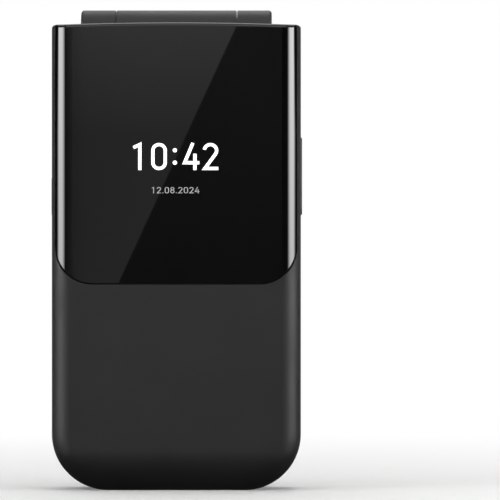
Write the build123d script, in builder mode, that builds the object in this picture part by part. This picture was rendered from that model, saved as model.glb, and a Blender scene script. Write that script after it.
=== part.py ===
from build123d import *
import os
from math import asin, cos, radians, sin, tan

os.makedirs("parts", exist_ok=True)

# A folding phone, closed and standing on its bottom end, in millimetres.
# X runs to the right seen from the lid side, Y from the lid to the battery cover, Z up to the hinge.

# Gaps and small corners that repeat
tolerance = 0.01
glue_gap = 0.05
head_gap = 0.1
board_corner = 1.5
small_corner = 0.6
chip_corner = 0.3
board_hole_radius = 1.2
glass_chamfer = 0.15

# Whole phone
body_width = 54.4
closed_height = 105.0
closed_thickness = 18.7
half_width = body_width / 2
front_y = -closed_thickness / 2
back_y = closed_thickness / 2
corner_radius = 12.3
shell_top_z = 102.1
top_crown = 0.55
cavity_top_z = 96.2

# Hinge
hinge_radius = 3.7
lid_inner_y = -2.15
base_face_y = -1.85
hinge_y = (lid_inner_y + base_face_y) / 2
hinge_z = closed_height - hinge_radius
barrel_half = 13.05
knuckle_start = 13.35
knuckle_end = 20.85
knuckle_edge_radius = 0.7
side_gap = 0.3
swing_radius = 4.0
vee_angle = 13.5
vee_drop = 0.2
pin_radius = 2.18
pin_bore_radius = 2.25
cartridge_radius = 2.8
cartridge_bore_radius = 2.85
cartridge_inner_radius = 2.2
shaft_radius = 2.12
bore_step_x = 8.0
knuckle_bore_end = 20.05
shaft_hex_x = 13.6
shaft_tip_x = -10.4
shaft_nose_radius = 0.9
shaft_nose_length = 1.2
cartridge_inner_x = -1.0
cartridge_end_wall = 0.8
spring_radius = 1.65
spring_wire_radius = 0.3
spring_pitch = 1.35
spring_length = 7.0
pin_inner_radius = 1.75
pin_end_x = 16.5
flex_roll_radius = 1.4
flex_thickness = 0.2
flex_start_x = 1.5
flex_end_x = 19.0
flex_width = 6.0
flex_y = hinge_y + flex_roll_radius - flex_thickness / 2
flex_bend_z = 94.1
flex_pad_y = 0.44
flex_pad_z = 91.0
flex_gap = 0.25
flex_slot_length = 3.3

# Lid
lid_side_radius = 4.4
lid_roll_start_z = 9.6
lid_roll_depth = 1.2
lid_top_radius = 0.8
lid_wall = 1.9
lid_split_y = -4.2
lid_plate_y = -3.3
window_half = 26.2
window_bottom_z = 45.1
window_corner = 8.0
window_recess = 0.1
window_thickness = 0.85
window_edge_y = -6.9
window_gap = 0.17
outer_display_z = 70.5
inner_display_z = 45.0
glass_width = 48.4
glass_bottom_z = 11.5
glass_top_z = 90.0
glass_corner = 2.0
glass_front_y = -2.9
glass_thickness = 0.68
earpiece_z = 6.9
outer_display_width = 27.0
outer_display_height = 29.0
outer_display_front_y = -8.3
outer_display_thickness = 1.4
inner_display_width = 47.0
inner_display_height = 65.0
inner_display_thickness = 2.2
display_opening_width = 43.6
display_opening_height = 58.0
lid_board_z = 54.0
lid_board_y = -6.1
lid_board_width = 40.0
lid_board_height = 78.0
lid_board_thickness = 0.6
lid_chip_width = 5.5
lid_chip_height = 3.4
lid_chip_thickness = 0.4
lid_chip_places = [(-11, 84), (6, 85), (14, 88)]
lid_board_holes = [(-14, 30), (14, 30)]
earpiece_width = 12.0
earpiece_height = 6.2
earpiece_thickness = 2.3
earpiece_magnet_step = 0.4
earpiece_slot_length = 10.0
earpiece_slot_width = 1.5
mesh_back_y = -2.35
mesh_thickness = 0.3
mesh_hole_radius = 0.16
mesh_columns = 10
mesh_rows = 2
mesh_pitch_x = 0.8
mesh_pitch_z = 0.55
closing_magnet_x = -9.4
closing_magnet_width = 4.4
closing_magnet_height = 4.0
closing_magnet_thickness = 1.6
flex_slot_x = 18.3
flex_slot_width = 3.0
flex_slot_depth = 1.1
flex_slot_y = -4.05
flex_slot_low_z = 95.85
flex_slot_high_z = 100.15
flex_slot_margin = 0.2
lid_flex_y = -3.8
lid_flex_end_z = 93.4

# Screws
screw_head_height = 0.75
screw_recess_share = 0.35
screw_pilot_gap = 0.05
fit_gap = 0.25
lid_boss_radius = 2.0
lid_boss_flange = 0.6
lid_boss_bite = 0.1
lid_screw_radius = 0.6
lid_screw_length = 3.2
lid_head_radius = 1.3
lid_head_y = -3.65
bumper_radius = 1.85
bumper_proud = 0.25
bumper_seat_y = -2.8
bumper_crown = 0.2
lid_screw_places = [(-14.5, 3.8), (14.5, 3.8), (-22.6, 93.2), (22.6, 93.2)]
base_boss_radius = 1.4
base_screw_radius = 0.6
base_screw_length = 3.4
base_head_radius = 1.2
base_screw_places = [(x, z) for x in (-24.3, 24.3) for z in (15.0, 52.0, 89.0)]

# Base
base_wall = 1.1
base_face_thickness = 1.0
base_edge_radius = 0.6
base_split_y = 3.2
frame_wall = 1.5
rim_width = 0.73
rim_y = 6.9
bay_floor_y = 2.8
bay_floor_thickness = 0.6
bay_top_y = bay_floor_y + bay_floor_thickness + glue_gap
cover_seat_y = 6.0
cover_gap = 0.1
cover_wall = 1.0
cover_flat_half = 17.0
cover_edge_drop = 2.75
cover_top_flat_z = 88.0
cover_top_drop = 2.45
cover_tab_half = 4.93
cover_tab_height = 1.2
cover_tab_thickness = 0.55
notch_z = 86.8
notch_half = 1.75
notch_depth = 0.75
notch_floor_y = 5.2

# Boards and keypad stack, by their Y
flange_front_y = -0.75
flange_thickness = 0.25
key_travel = 0.25
mat_clearance = 0.3
mat_front_y = flange_front_y + flange_thickness + key_travel + mat_clearance
dome_front_y = 0.45
board_front_y = 0.6
board_back_y = 1.4
board_inset = 2.2
board_top_z = 95.6
board_cutout_gap = 0.4
board_part_thickness = 0.9
board_chip_width = 4.0
board_chip_height = 3.0
board_chip_places = [(-16, 10), (16, 90), (-18, 92)]
board_switch_width = 3.0
board_switch_height = 3.6
board_switch_x = 23.2
mat_z = 44.5
mat_width = 45.4
mat_height = 79.0
mat_corner = 3.0
dome_sheet_inset = 0.4
can_x = 10.5
upper_can_z = 66.0
upper_can_size = (18.0, 30.0)
lower_can_z = 34.0
lower_can_size = (30.0, 24.0)
can_corner = 0.8
can_sheet = 0.2
can_top_gap = 0.15

# Keys
key_top_y = -1.95
key_gap = 0.18
key_edge_radius = 0.3
key_corner = 1.2
flange_margin = 0.35
number_key_width = 14.0
number_key_height = 9.9
number_pitch_x = 15.0
number_pitch_z = 11.2
lowest_row_z = 11.0
number_rows = [("key_star", "key_0", "key_hash"), ("key_7", "key_8", "key_9"),
               ("key_4", "key_5", "key_6"), ("key_1", "key_2", "key_3")]
side_key_width = 9.6
side_key_height = 13.0
side_key_x = 17.3
scroll_z = 67.25
scroll_size = 24.0
scroll_corner = 6.0
scroll_top_y = -1.8
scroll_back_y = -0.65
scroll_hole = 10.6
select_size = 10.0
select_corner = 2.1
select_flange_y = -0.45
select_flange_thickness = 0.2
select_flange_size = 12.0
lug_reach = 0.6
lug_thickness = 0.25
lug_height = 1.1
lug_y = -0.6

# Camera, flash, speaker and ports
camera_z = 94.0
camera_hole_radius = 4.2
camera_window_radius = 3.9
camera_window_y = 8.05
camera_window_thickness = 0.5
camera_box_y = 6.9
camera_box_size = 8.2
camera_collar_step = 0.4
camera_lens_radius = 1.9
flash_x = -8.95
flash_z = 93.7
flash_hole_radius = 2.08
flash_lens_radius = 1.93
flash_lens_y = 8.55
flash_lens_edge = 0.25
flash_body_y = 7.6
flash_box_size = 3.2
rear_mic_x = -9.1
rear_mic_z = 88.1
rear_mic_radius = 0.35
speaker_x = 12.0
speaker_z = 93.2
speaker_slot_length = 9.0
speaker_slot_width = 0.9
speaker_slot_pitch = 1.8
speaker_slot_count = 3
speaker_mesh_width = 11.0
speaker_mesh_height = 6.0
speaker_mesh_thickness = 0.2
speaker_width = 14.4
speaker_height = 8.6
speaker_body_y = 6.6
speaker_face_y = 6.9
usb_y = 2.75
usb_width = 7.5
usb_height = 2.5
usb_depth = 5.6
usb_mouth = 0.75
usb_start_z = 0.35
usb_wall = 0.3
usb_tongue_width = 4.5
usb_tongue_thickness = 0.6
usb_tongue_start_z = 0.9
usb_tongue_offset = 0.2
jack_x = 11.5
jack_y = 3.3
jack_bore_radius = 1.8
jack_body_radius = 2.25
jack_bottom_z = frame_wall + glue_gap
jack_length = 11.5
jack_end_wall = 0.6
jack_cutout_top_z = 13.3
jack_mouth = 0.35
mic_x = -7.5
mic_y = 1.95
mic_z = 3.6
mic_width = 3.0
mic_height = 2.2
mic_thickness = 0.95
mic_hole_radius = 0.4

# Side keys
volume_z = 68.7
volume_length = 17.1
side_button_z = 64.3
side_button_length = 8.8
side_button_y = 1.0
side_button_height = 2.3
side_button_reach = 0.35
side_button_root = 1.25
side_button_gap = 0.15
button_flange = 0.5
button_flange_margin = 0.4
volume_flange_length = 6.0

# Battery, card sockets, motor and antenna
battery_width = 38.0
battery_height = 54.0
battery_thickness = 4.55
battery_bottom_z = 22.0
battery_edge = 0.5
contact_z = 20.0
contact_width = 8.4
contact_height = 1.8
contact_top = 2.6
blade_y = 1.5
blade_pitch = 2.6
blade_width = 1.1
blade_height = 1.4
blade_length = 0.7
socket_z = 83.0
socket_height = 9.6
socket_thickness = 1.4
socket_slot_y = 0.9
socket_slot_thickness = 0.7
socket_slot_height = 7.4
socket_slot_shift = 1.2
sim_socket_x = 12.0
sim_socket_width = 14.5
sim_slot_width = 12.4
memory_socket_x = -4.4
memory_socket_width = 12.6
memory_slot_width = 11.1
motor_x = -11.5
motor_z = 15.0
motor_radius = 2.0
motor_length = 6.0
motor_shaft_radius = 0.4
motor_shaft_length = 1.2
motor_weight_radius = 1.6
motor_weight_length = 1.6
antenna_x = -11.0
antenna_z = 6.4
antenna_width = 9.0
antenna_height = 8.0
antenna_corner = 0.8
antenna_wall = 1.3
antenna_depth = 1.2
antenna_top_y = 5.6


# A plane that faces the lid side, at the given Y; sketches on it read as seen from the front.
def facing(y):
    return Plane.XZ.offset(-y)


# The phone's front outline, pulled in all round; the top may be pulled in by another amount.
def body_outline(inset, top_inset=None):
    top_inset = inset if top_inset is None else top_inset
    half = half_width - inset
    top_z = shell_top_z - top_inset
    side_z = top_z - top_crown
    with BuildSketch() as outline:
        with BuildLine():
            Polyline((-half, side_z), (-half, inset), (half, inset), (half, side_z))
            ThreePointArc((half, side_z), (0, top_z), (-half, side_z))
        make_face()
        fillet(outline.vertices().sort_by(Axis.Y)[:2], radius=corner_radius - inset)
    return outline.sketch


# Three points (place, depth) of an arc that leaves a flat at one place and has dropped at the edge.
def roll_arc(flat, edge, drop, inset):
    way = 1 if edge > flat else -1
    run = abs(edge - flat)
    radius = (run**2 + drop**2) / (2 * drop)
    reach = radius - inset
    sweep_angle = asin((run - inset) / reach)
    angles = (0, sweep_angle / 2, sweep_angle)
    return [(flat + way * reach * sin(a), radius - reach * cos(a)) for a in angles]


# The lid as a solid block: rounded sides, a front that rolls back at the bottom, a crowned top.
def lid_form(inset):
    roll = [(front_y + depth, z) for z, depth in roll_arc(lid_roll_start_z, 0, lid_roll_depth, inset)]
    outside = front_y - 2
    with BuildPart() as form:
        with BuildSketch(facing(lid_inner_y)):
            add(body_outline(inset))
        extrude(amount=lid_inner_y - front_y - inset)
        with BuildSketch(Plane.YZ):
            with BuildLine():
                ThreePointArc(*roll)
                Polyline(roll[2], (roll[2][0], inset - 2), (outside, inset - 2), (outside, roll[0][1]), roll[0])
            make_face()
        extrude(amount=body_width, both=True, mode=Mode.SUBTRACT)
        front_faces = form.faces().filter_by(lambda face: face.normal_at().Y < -0.7)
        rim = [edge for edge in front_faces.edges() if edge.center().Z < shell_top_z - inset - 1.5]
        rim = [edge for edge in rim if sum(edge.center() == other.center() for other in rim) == 1]
        fillet(rim, radius=lid_side_radius - inset)
        if inset < lid_top_radius / 2:
            top_face = form.faces().sort_by(Axis.Z)[-1]
            top_edges = top_face.edges().filter_by(lambda edge: edge.center().Y < lid_inner_y - 0.01)
            fillet(top_edges, radius=lid_top_radius - inset)
    return form.part


# The glossy window's outline, open upwards past the lid's top.
def window_outline(margin):
    low = window_bottom_z - margin
    high = closed_height
    with BuildSketch() as outline:
        with Locations((0, (low + high) / 2)):
            Rectangle(2 * (window_half + margin), high - low)
        fillet(outline.vertices().sort_by(Axis.Y)[:2], radius=window_corner + margin)
    return outline.sketch


# The battery cover as a solid pillow: one round edge along the sides and the bottom, cut from a
# larger block with a full quarter round, and a longer, flatter roll towards the hinge.
def cover_form(inset):
    edge = rim_width + cover_gap
    run = half_width - edge - cover_flat_half
    round_radius = (run**2 + cover_edge_drop**2) / (2 * cover_edge_drop)
    grow = round_radius - run - inset
    block_low_z = edge - grow
    block_high_z = 2 * closed_height
    roll = [(back_y - depth, z) for z, depth in roll_arc(cover_top_flat_z, shell_top_z, cover_top_drop, inset)]
    with BuildPart() as form:
        with BuildSketch(facing(back_y - inset)) as block:
            with Locations((0, (block_low_z + block_high_z) / 2)):
                Rectangle(2 * (half_width - edge + grow), block_high_z - block_low_z)
            fillet(block.vertices().sort_by(Axis.Y)[:2], radius=corner_radius - edge + grow)
        extrude(amount=round_radius + 1)
        back_edges = form.faces().sort_by(Axis.Y)[-1].edges()
        back_edges = back_edges.filter_by(lambda line: line.center().Z < block_high_z - 1)
        fillet(back_edges, radius=round_radius - inset)
        with BuildSketch(facing(back_y)):
            add(body_outline(edge + inset, inset))
        extrude(amount=back_y - cover_seat_y, mode=Mode.INTERSECT)
        with BuildSketch(Plane.YZ):
            with BuildLine():
                ThreePointArc(*roll)
                Polyline(roll[2], (0, roll[2][1]), (0, -1), (back_y, -1), roll[0])
            make_face()
        extrude(amount=body_width, both=True, mode=Mode.INTERSECT)
    return form.part


# A round rod along X between two places on the hinge axis.
def hinge_rod(radius, x_from, x_to):
    with BuildPart() as rod:
        with BuildSketch(Plane.YZ.offset(x_from)):
            with Locations((hinge_y, hinge_z)):
                Circle(radius)
        extrude(amount=x_to - x_from)
    return rod.part


# Room for the other half's knuckles: the swing cylinder between two distances from the middle.
def swing_room(x_from, x_to):
    with BuildPart() as room:
        add(hinge_rod(swing_radius, x_from, x_to))
        mirror(about=Plane.YZ)
    return room.part


# The shallow vee that frees both halves' top ends, outside the given distance from the middle.
def vee_room(x_from):
    rise = body_width * tan(radians(vee_angle))
    low_z = hinge_z - vee_drop
    with BuildPart() as room:
        with BuildSketch(Plane.YZ.offset(x_from)):
            Polygon((hinge_y, low_z), (hinge_y + body_width, low_z + rise), (hinge_y + body_width, low_z + 40),
                    (hinge_y - body_width, low_z + 40), (hinge_y - body_width, low_z + rise), align=None)
        extrude(amount=half_width)
        mirror(about=Plane.YZ)
    return room.part


# Machine screws along Y: flat heads at the back with a round drive recess, shanks towards the front.
def screws(places, head_front_y, head_radius, shank_radius, shank_length):
    with BuildPart() as group:
        with BuildSketch(facing(head_front_y + screw_head_height)):
            with Locations(*places):
                Circle(head_radius)
        extrude(amount=screw_head_height)
        with BuildSketch(facing(head_front_y + screw_head_height)):
            with Locations(*places):
                Circle(head_radius * screw_recess_share)
        extrude(amount=screw_head_height / 2, mode=Mode.SUBTRACT)
        with BuildSketch(facing(head_front_y)):
            with Locations(*places):
                Circle(shank_radius)
        extrude(amount=shank_length)
    return group.part


# The lid

with BuildPart() as window_pocket:
    with BuildSketch(facing(window_edge_y + glue_gap)):
        add(window_outline(window_gap))
    extrude(amount=closed_thickness)
    add(lid_form(window_recess + window_thickness + glue_gap), mode=Mode.SUBTRACT)

with BuildPart() as lid_cavity:
    add(lid_form(lid_wall))
    split(bisect_by=Plane.XY.offset(cavity_top_z), keep=Keep.BOTTOM)

with BuildPart() as lid_outer_shell:
    add(lid_form(0))
    add(window_pocket.part, mode=Mode.SUBTRACT)
    add(lid_cavity.part, mode=Mode.SUBTRACT)
    with BuildSketch(facing(lid_split_y)):
        with Locations(*lid_screw_places):
            Circle(lid_boss_radius)
    extrude(amount=lid_split_y - front_y - lid_wall + lid_boss_bite)
    with BuildSketch(facing(lid_split_y)):
        with Locations(*lid_screw_places):
            Circle(lid_screw_radius + screw_pilot_gap)
    extrude(amount=lid_screw_length + lid_head_y - lid_split_y, mode=Mode.SUBTRACT)
    with BuildSketch(facing(lid_inner_y)):
        with Locations((0, outer_display_z)):
            Rectangle(outer_display_width + 2 * fit_gap, outer_display_height + 2 * fit_gap)
    extrude(amount=closed_thickness, mode=Mode.SUBTRACT)
    split(bisect_by=facing(lid_split_y), keep=Keep.TOP)
    add(swing_room(0, knuckle_start - side_gap / 2), mode=Mode.SUBTRACT)
    add(hinge_rod(hinge_radius + glue_gap, knuckle_start - side_gap, knuckle_end + glue_gap), mode=Mode.SUBTRACT)
    add(hinge_rod(hinge_radius + glue_gap, -knuckle_end - glue_gap, side_gap - knuckle_start), mode=Mode.SUBTRACT)
    add(vee_room(knuckle_end), mode=Mode.SUBTRACT)
lid_outer_shell.part.label = "lid_outer_shell"
export_step(lid_outer_shell.part, "parts/lid_outer_shell.step")

with BuildPart() as lid_window:
    with BuildSketch(facing(window_edge_y)):
        add(window_outline(0))
    extrude(amount=closed_thickness)
    add(lid_form(window_recess), mode=Mode.INTERSECT)
    add(lid_form(window_recess + window_thickness), mode=Mode.SUBTRACT)
lid_window.part.label = "lid_window"
export_step(lid_window.part, "parts/lid_window.step")

with BuildPart() as outer_display:
    with BuildSketch(facing(outer_display_front_y + outer_display_thickness)):
        with Locations((0, outer_display_z)):
            RectangleRounded(outer_display_width, outer_display_height, small_corner)
    extrude(amount=outer_display_thickness)
    chamfer(outer_display.faces().sort_by(Axis.Y)[0].edges(), length=glass_chamfer)
outer_display.part.label = "outer_display"
export_step(outer_display.part, "parts/outer_display.step")

with BuildPart() as lid_board:
    with BuildSketch(facing(lid_board_y)):
        with Locations((0, lid_board_z)):
            RectangleRounded(lid_board_width, lid_board_height, board_corner)
        with Locations(*lid_board_holes):
            Circle(board_hole_radius, mode=Mode.SUBTRACT)
    extrude(amount=lid_board_thickness)
    with BuildSketch(facing(lid_board_y + lid_chip_thickness)):
        with Locations(*lid_chip_places):
            RectangleRounded(lid_chip_width, lid_chip_height, chip_corner)
    extrude(amount=lid_chip_thickness)
lid_board.part.label = "lid_board"
export_step(lid_board.part, "parts/lid_board.step")

with BuildPart() as lid_inner_shell:
    add(lid_form(0))
    split(bisect_by=facing(lid_split_y), keep=Keep.BOTTOM)
    with BuildSketch(facing(lid_plate_y)):
        add(body_outline(lid_wall))
        with Locations((0, closed_height)):
            Rectangle(body_width, 2 * (closed_height - cavity_top_z), mode=Mode.SUBTRACT)
    extrude(amount=closed_thickness, mode=Mode.SUBTRACT)
    with BuildSketch(facing(lid_plate_y)):
        with Locations(*lid_screw_places):
            Circle(lid_boss_radius + lid_boss_flange)
    extrude(amount=lid_plate_y - lid_split_y)
    with BuildSketch(facing(lid_inner_y)):
        with Locations(*lid_screw_places):
            Circle(lid_screw_radius + fit_gap)
    extrude(amount=lid_inner_y - lid_split_y, mode=Mode.SUBTRACT)
    with BuildSketch(facing(lid_inner_y)):
        with Locations(*lid_screw_places):
            Circle(bumper_radius + glue_gap)
    extrude(amount=lid_inner_y - bumper_seat_y, mode=Mode.SUBTRACT)
    with BuildSketch(facing(bumper_seat_y)):
        with Locations(*lid_screw_places):
            Circle(lid_head_radius + head_gap)
    extrude(amount=bumper_seat_y - lid_head_y, mode=Mode.SUBTRACT)
    with BuildSketch(facing(lid_inner_y)):
        with Locations((0, (glass_bottom_z + glass_top_z) / 2)):
            RectangleRounded(glass_width + 2 * head_gap, glass_top_z - glass_bottom_z + 2 * head_gap, glass_corner)
    extrude(amount=lid_inner_y - glass_front_y, mode=Mode.SUBTRACT)
    with BuildSketch(facing(lid_inner_y)):
        with Locations((0, inner_display_z)):
            Rectangle(display_opening_width, display_opening_height)
        with Locations((0, earpiece_z)):
            SlotOverall(earpiece_slot_length, earpiece_slot_width)
    extrude(amount=lid_inner_y - lid_split_y, mode=Mode.SUBTRACT)
    add(swing_room(0, knuckle_start - side_gap / 2), mode=Mode.SUBTRACT)
    add(vee_room(knuckle_end), mode=Mode.SUBTRACT)
    for side in (-1, 1):
        add(hinge_rod(hinge_radius, side * knuckle_start, side * knuckle_end))
    end_faces = lid_inner_shell.faces().filter_by(Axis.X)
    end_faces = end_faces.filter_by(lambda face: abs(abs(face.center().X) - knuckle_end) < tolerance)
    fillet(end_faces.edges().filter_by(GeomType.CIRCLE), radius=knuckle_edge_radius)
    with BuildSketch(Plane.YZ.offset(-shaft_hex_x)):
        with Locations((hinge_y, hinge_z)):
            RegularPolygon(cartridge_inner_radius, 6)
    extrude(amount=shaft_hex_x - knuckle_bore_end, mode=Mode.SUBTRACT)
    add(hinge_rod(pin_bore_radius, -shaft_hex_x, -barrel_half), mode=Mode.SUBTRACT)
    add(hinge_rod(pin_bore_radius, barrel_half, knuckle_bore_end), mode=Mode.SUBTRACT)
    with Locations((flex_slot_x, flex_slot_y, (flex_slot_low_z + flex_slot_high_z) / 2)):
        Box(flex_slot_width, flex_slot_depth, flex_slot_high_z - flex_slot_low_z, mode=Mode.SUBTRACT)
lid_inner_shell.part.label = "lid_inner_shell"
export_step(lid_inner_shell.part, "parts/lid_inner_shell.step")

with BuildPart() as inner_display:
    with BuildSketch(facing(lid_plate_y - glue_gap)):
        with Locations((0, inner_display_z)):
            RectangleRounded(inner_display_width, inner_display_height, board_corner)
    extrude(amount=inner_display_thickness)
    with BuildSketch(facing(glass_front_y - glue_gap)):
        with Locations((0, inner_display_z)):
            Rectangle(display_opening_width - 2 * fit_gap, display_opening_height - 2 * fit_gap)
    extrude(amount=glass_front_y - lid_plate_y)
inner_display.part.label = "inner_display"
export_step(inner_display.part, "parts/inner_display.step")

with BuildPart() as display_glass:
    with BuildSketch(facing(glass_front_y + glue_gap + glass_thickness)):
        with Locations((0, (glass_bottom_z + glass_top_z) / 2)):
            RectangleRounded(glass_width, glass_top_z - glass_bottom_z, glass_corner)
    extrude(amount=glass_thickness)
    chamfer(display_glass.faces().sort_by(Axis.Y)[-1].edges(), length=glass_chamfer)
display_glass.part.label = "display_glass"
export_step(display_glass.part, "parts/display_glass.step")

with BuildPart() as earpiece_speaker:
    with BuildSketch(facing(lid_plate_y - glue_gap)):
        with Locations((0, earpiece_z)):
            RectangleRounded(earpiece_width, earpiece_height, board_corner)
    extrude(amount=earpiece_thickness)
    with BuildSketch(facing(lid_plate_y - glue_gap - earpiece_thickness)):
        with Locations((0, earpiece_z)):
            RectangleRounded(earpiece_width * 2 / 3, earpiece_height * 2 / 3, small_corner)
    extrude(amount=earpiece_magnet_step)
earpiece_speaker.part.label = "earpiece_speaker"
export_step(earpiece_speaker.part, "parts/earpiece_speaker.step")

with BuildPart() as earpiece_mesh:
    with BuildSketch(facing(mesh_back_y)):
        with Locations((0, earpiece_z)):
            SlotOverall(earpiece_slot_length - 2 * glue_gap, earpiece_slot_width - 2 * glue_gap)
        with Locations((0, earpiece_z)):
            with GridLocations(mesh_pitch_x, mesh_pitch_z, mesh_columns, mesh_rows):
                Circle(mesh_hole_radius, mode=Mode.SUBTRACT)
    extrude(amount=mesh_thickness)
earpiece_mesh.part.label = "earpiece_mesh"
export_step(earpiece_mesh.part, "parts/earpiece_mesh.step")

with BuildPart() as lid_bumpers:
    with BuildSketch(facing(lid_inner_y + bumper_proud)):
        with Locations(*lid_screw_places):
            Circle(bumper_radius)
    extrude(amount=lid_inner_y + bumper_proud - bumper_seat_y - glue_gap)
    crowns = lid_bumpers.edges().filter_by(GeomType.CIRCLE)
    crowns = crowns.filter_by(lambda edge: abs(edge.center().Y - lid_inner_y - bumper_proud) < tolerance)
    fillet(crowns, radius=bumper_crown)
lid_bumpers.part.label = "lid_bumpers"
export_step(lid_bumpers.part, "parts/lid_bumpers.step")

with BuildPart() as lid_screws:
    add(screws(lid_screw_places, lid_head_y, lid_head_radius, lid_screw_radius, lid_screw_length))
lid_screws.part.label = "lid_screws"
export_step(lid_screws.part, "parts/lid_screws.step")

with BuildPart() as closing_magnet:
    with BuildSketch(facing(lid_plate_y - glue_gap)):
        with Locations((closing_magnet_x, earpiece_z)):
            RectangleRounded(closing_magnet_width, closing_magnet_height, chip_corner)
    extrude(amount=closing_magnet_thickness)
closing_magnet.part.label = "closing_magnet"
export_step(closing_magnet.part, "parts/closing_magnet.step")

with BuildPart() as lid_flex_cable:
    with BuildSketch(Plane.YZ.offset(flex_slot_x - flex_slot_width / 2 + flex_slot_margin)):
        with BuildLine():
            Polyline((lid_flex_y, hinge_z), (lid_flex_y, lid_flex_end_z), (lid_board_y + glue_gap, lid_flex_end_z))
        trace(line_width=flex_thickness)
    extrude(amount=flex_slot_width - 2 * flex_slot_margin)
lid_flex_cable.part.label = "lid_flex_cable"
export_step(lid_flex_cable.part, "parts/lid_flex_cable.step")

# The hinge

with BuildPart() as hinge_cartridge:
    add(hinge_rod(cartridge_radius, -barrel_half, cartridge_inner_x))
    add(hinge_rod(cartridge_inner_radius, -barrel_half, cartridge_inner_x - cartridge_end_wall), mode=Mode.SUBTRACT)
hinge_cartridge.part.label = "hinge_cartridge"
export_step(hinge_cartridge.part, "parts/hinge_cartridge.step")

with BuildPart() as hinge_shaft:
    with BuildSketch(Plane.YZ.offset(-shaft_hex_x)):
        with Locations((hinge_y, hinge_z)):
            RegularPolygon(shaft_radius, 6)
    extrude(amount=shaft_hex_x - knuckle_bore_end + 2 * glue_gap)
    add(hinge_rod(shaft_radius, -shaft_hex_x, shaft_tip_x))
    add(hinge_rod(shaft_nose_radius, shaft_tip_x, shaft_tip_x + shaft_nose_length))
hinge_shaft.part.label = "hinge_shaft"
export_step(hinge_shaft.part, "parts/hinge_shaft.step")

spring_start = (shaft_tip_x + 2 * spring_wire_radius, hinge_y, hinge_z)
with BuildPart() as hinge_spring:
    with BuildLine() as spring_path:
        Helix(spring_pitch, spring_length, spring_radius, center=spring_start, direction=(1, 0, 0))
    with BuildSketch(Plane(origin=spring_path.line @ 0, z_dir=spring_path.line % 0)):
        Circle(spring_wire_radius)
    sweep(path=spring_path.line, is_frenet=True)
hinge_spring.part.label = "hinge_spring"
export_step(hinge_spring.part, "parts/hinge_spring.step")

with BuildPart() as hinge_pin:
    add(hinge_rod(pin_radius, bore_step_x + fit_gap, pin_end_x))
    add(hinge_rod(pin_inner_radius, bore_step_x, pin_end_x + 1), mode=Mode.SUBTRACT)
hinge_pin.part.label = "hinge_pin"
export_step(hinge_pin.part, "parts/hinge_pin.step")

with BuildPart() as hinge_flex_cable:
    add(hinge_rod(flex_roll_radius, flex_start_x, flex_end_x))
    add(hinge_rod(flex_roll_radius - flex_thickness, flex_start_x - 1, flex_end_x + 1), mode=Mode.SUBTRACT)
    with BuildSketch(Plane.YZ.offset(flex_start_x)):
        with BuildLine():
            Polyline((flex_y, hinge_z), (flex_y, flex_bend_z), (flex_pad_y, flex_bend_z), (flex_pad_y, flex_pad_z))
        trace(line_width=flex_thickness)
    extrude(amount=flex_width)
hinge_flex_cable.part.label = "hinge_flex_cable"
export_step(hinge_flex_cable.part, "parts/hinge_flex_cable.step")

# The keys and buttons

number_keys = []
for row, names in enumerate(number_rows):
    for column, name in enumerate(names):
        place = ((column - 1) * number_pitch_x, lowest_row_z + row * number_pitch_z)
        number_keys.append((name, place, number_key_width, number_key_height))
side_keys = [("call_key", (-side_key_x, 59.5), side_key_width, side_key_height),
             ("end_key", (side_key_x, 59.5), side_key_width, side_key_height),
             ("left_soft_key", (-side_key_x, 75.0), side_key_width, side_key_height),
             ("right_soft_key", (side_key_x, 75.0), side_key_width, side_key_height)]
flat_keys = number_keys + side_keys

for name, place, width, height in flat_keys:
    with BuildPart() as key:
        with BuildSketch(facing(flange_front_y)):
            with Locations(place):
                RectangleRounded(width, height, key_corner)
        extrude(amount=flange_front_y - key_top_y)
        fillet(key.faces().sort_by(Axis.Y)[0].edges(), radius=key_edge_radius)
        with BuildSketch(facing(flange_front_y + flange_thickness)):
            with Locations(place):
                RectangleRounded(width + 2 * flange_margin, height + 2 * flange_margin, key_corner)
        extrude(amount=flange_thickness)
    key.part.label = name
    export_step(key.part, f"parts/{name}.step")

with BuildPart() as scroll_ring:
    with BuildSketch(facing(scroll_back_y)):
        with Locations((0, scroll_z)):
            RectangleRounded(scroll_size, scroll_size, scroll_corner)
            RectangleRounded(scroll_hole, scroll_hole, select_corner + key_gap, mode=Mode.SUBTRACT)
    extrude(amount=scroll_back_y - scroll_top_y)
    fillet(scroll_ring.faces().sort_by(Axis.Y)[0].edges(), radius=key_edge_radius)
    for side in (-1, 1):
        with Locations((side * scroll_size / 2, lug_y, scroll_z)):
            Box(2 * lug_reach, lug_thickness, lug_height)
scroll_ring.part.label = "scroll_ring"
export_step(scroll_ring.part, "parts/scroll_ring.step")

with BuildPart() as select_key:
    with BuildSketch(facing(select_flange_y)):
        with Locations((0, scroll_z)):
            RectangleRounded(select_size, select_size, select_corner)
    extrude(amount=select_flange_y - key_top_y)
    fillet(select_key.faces().sort_by(Axis.Y)[0].edges(), radius=key_edge_radius)
    with BuildSketch(facing(select_flange_y + select_flange_thickness)):
        with Locations((0, scroll_z)):
            RectangleRounded(select_flange_size, select_flange_size, select_corner)
    extrude(amount=select_flange_thickness)
select_key.part.label = "select_key"
export_step(select_key.part, "parts/select_key.step")

with BuildPart() as volume_key:
    with BuildSketch(Plane.YZ.offset(half_width - side_button_root)):
        with Locations((side_button_y, volume_z)):
            SlotOverall(volume_length, side_button_height, rotation=90)
    extrude(amount=side_button_root + side_button_reach)
    fillet(volume_key.faces().sort_by(Axis.X)[-1].edges(), radius=key_edge_radius)
    with Locations((half_width - side_button_root - button_flange / 2, side_button_y, volume_z)):
        Box(button_flange, side_button_height + 2 * button_flange_margin, volume_flange_length)
volume_key.part.label = "volume_key"
export_step(volume_key.part, "parts/volume_key.step")

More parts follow.
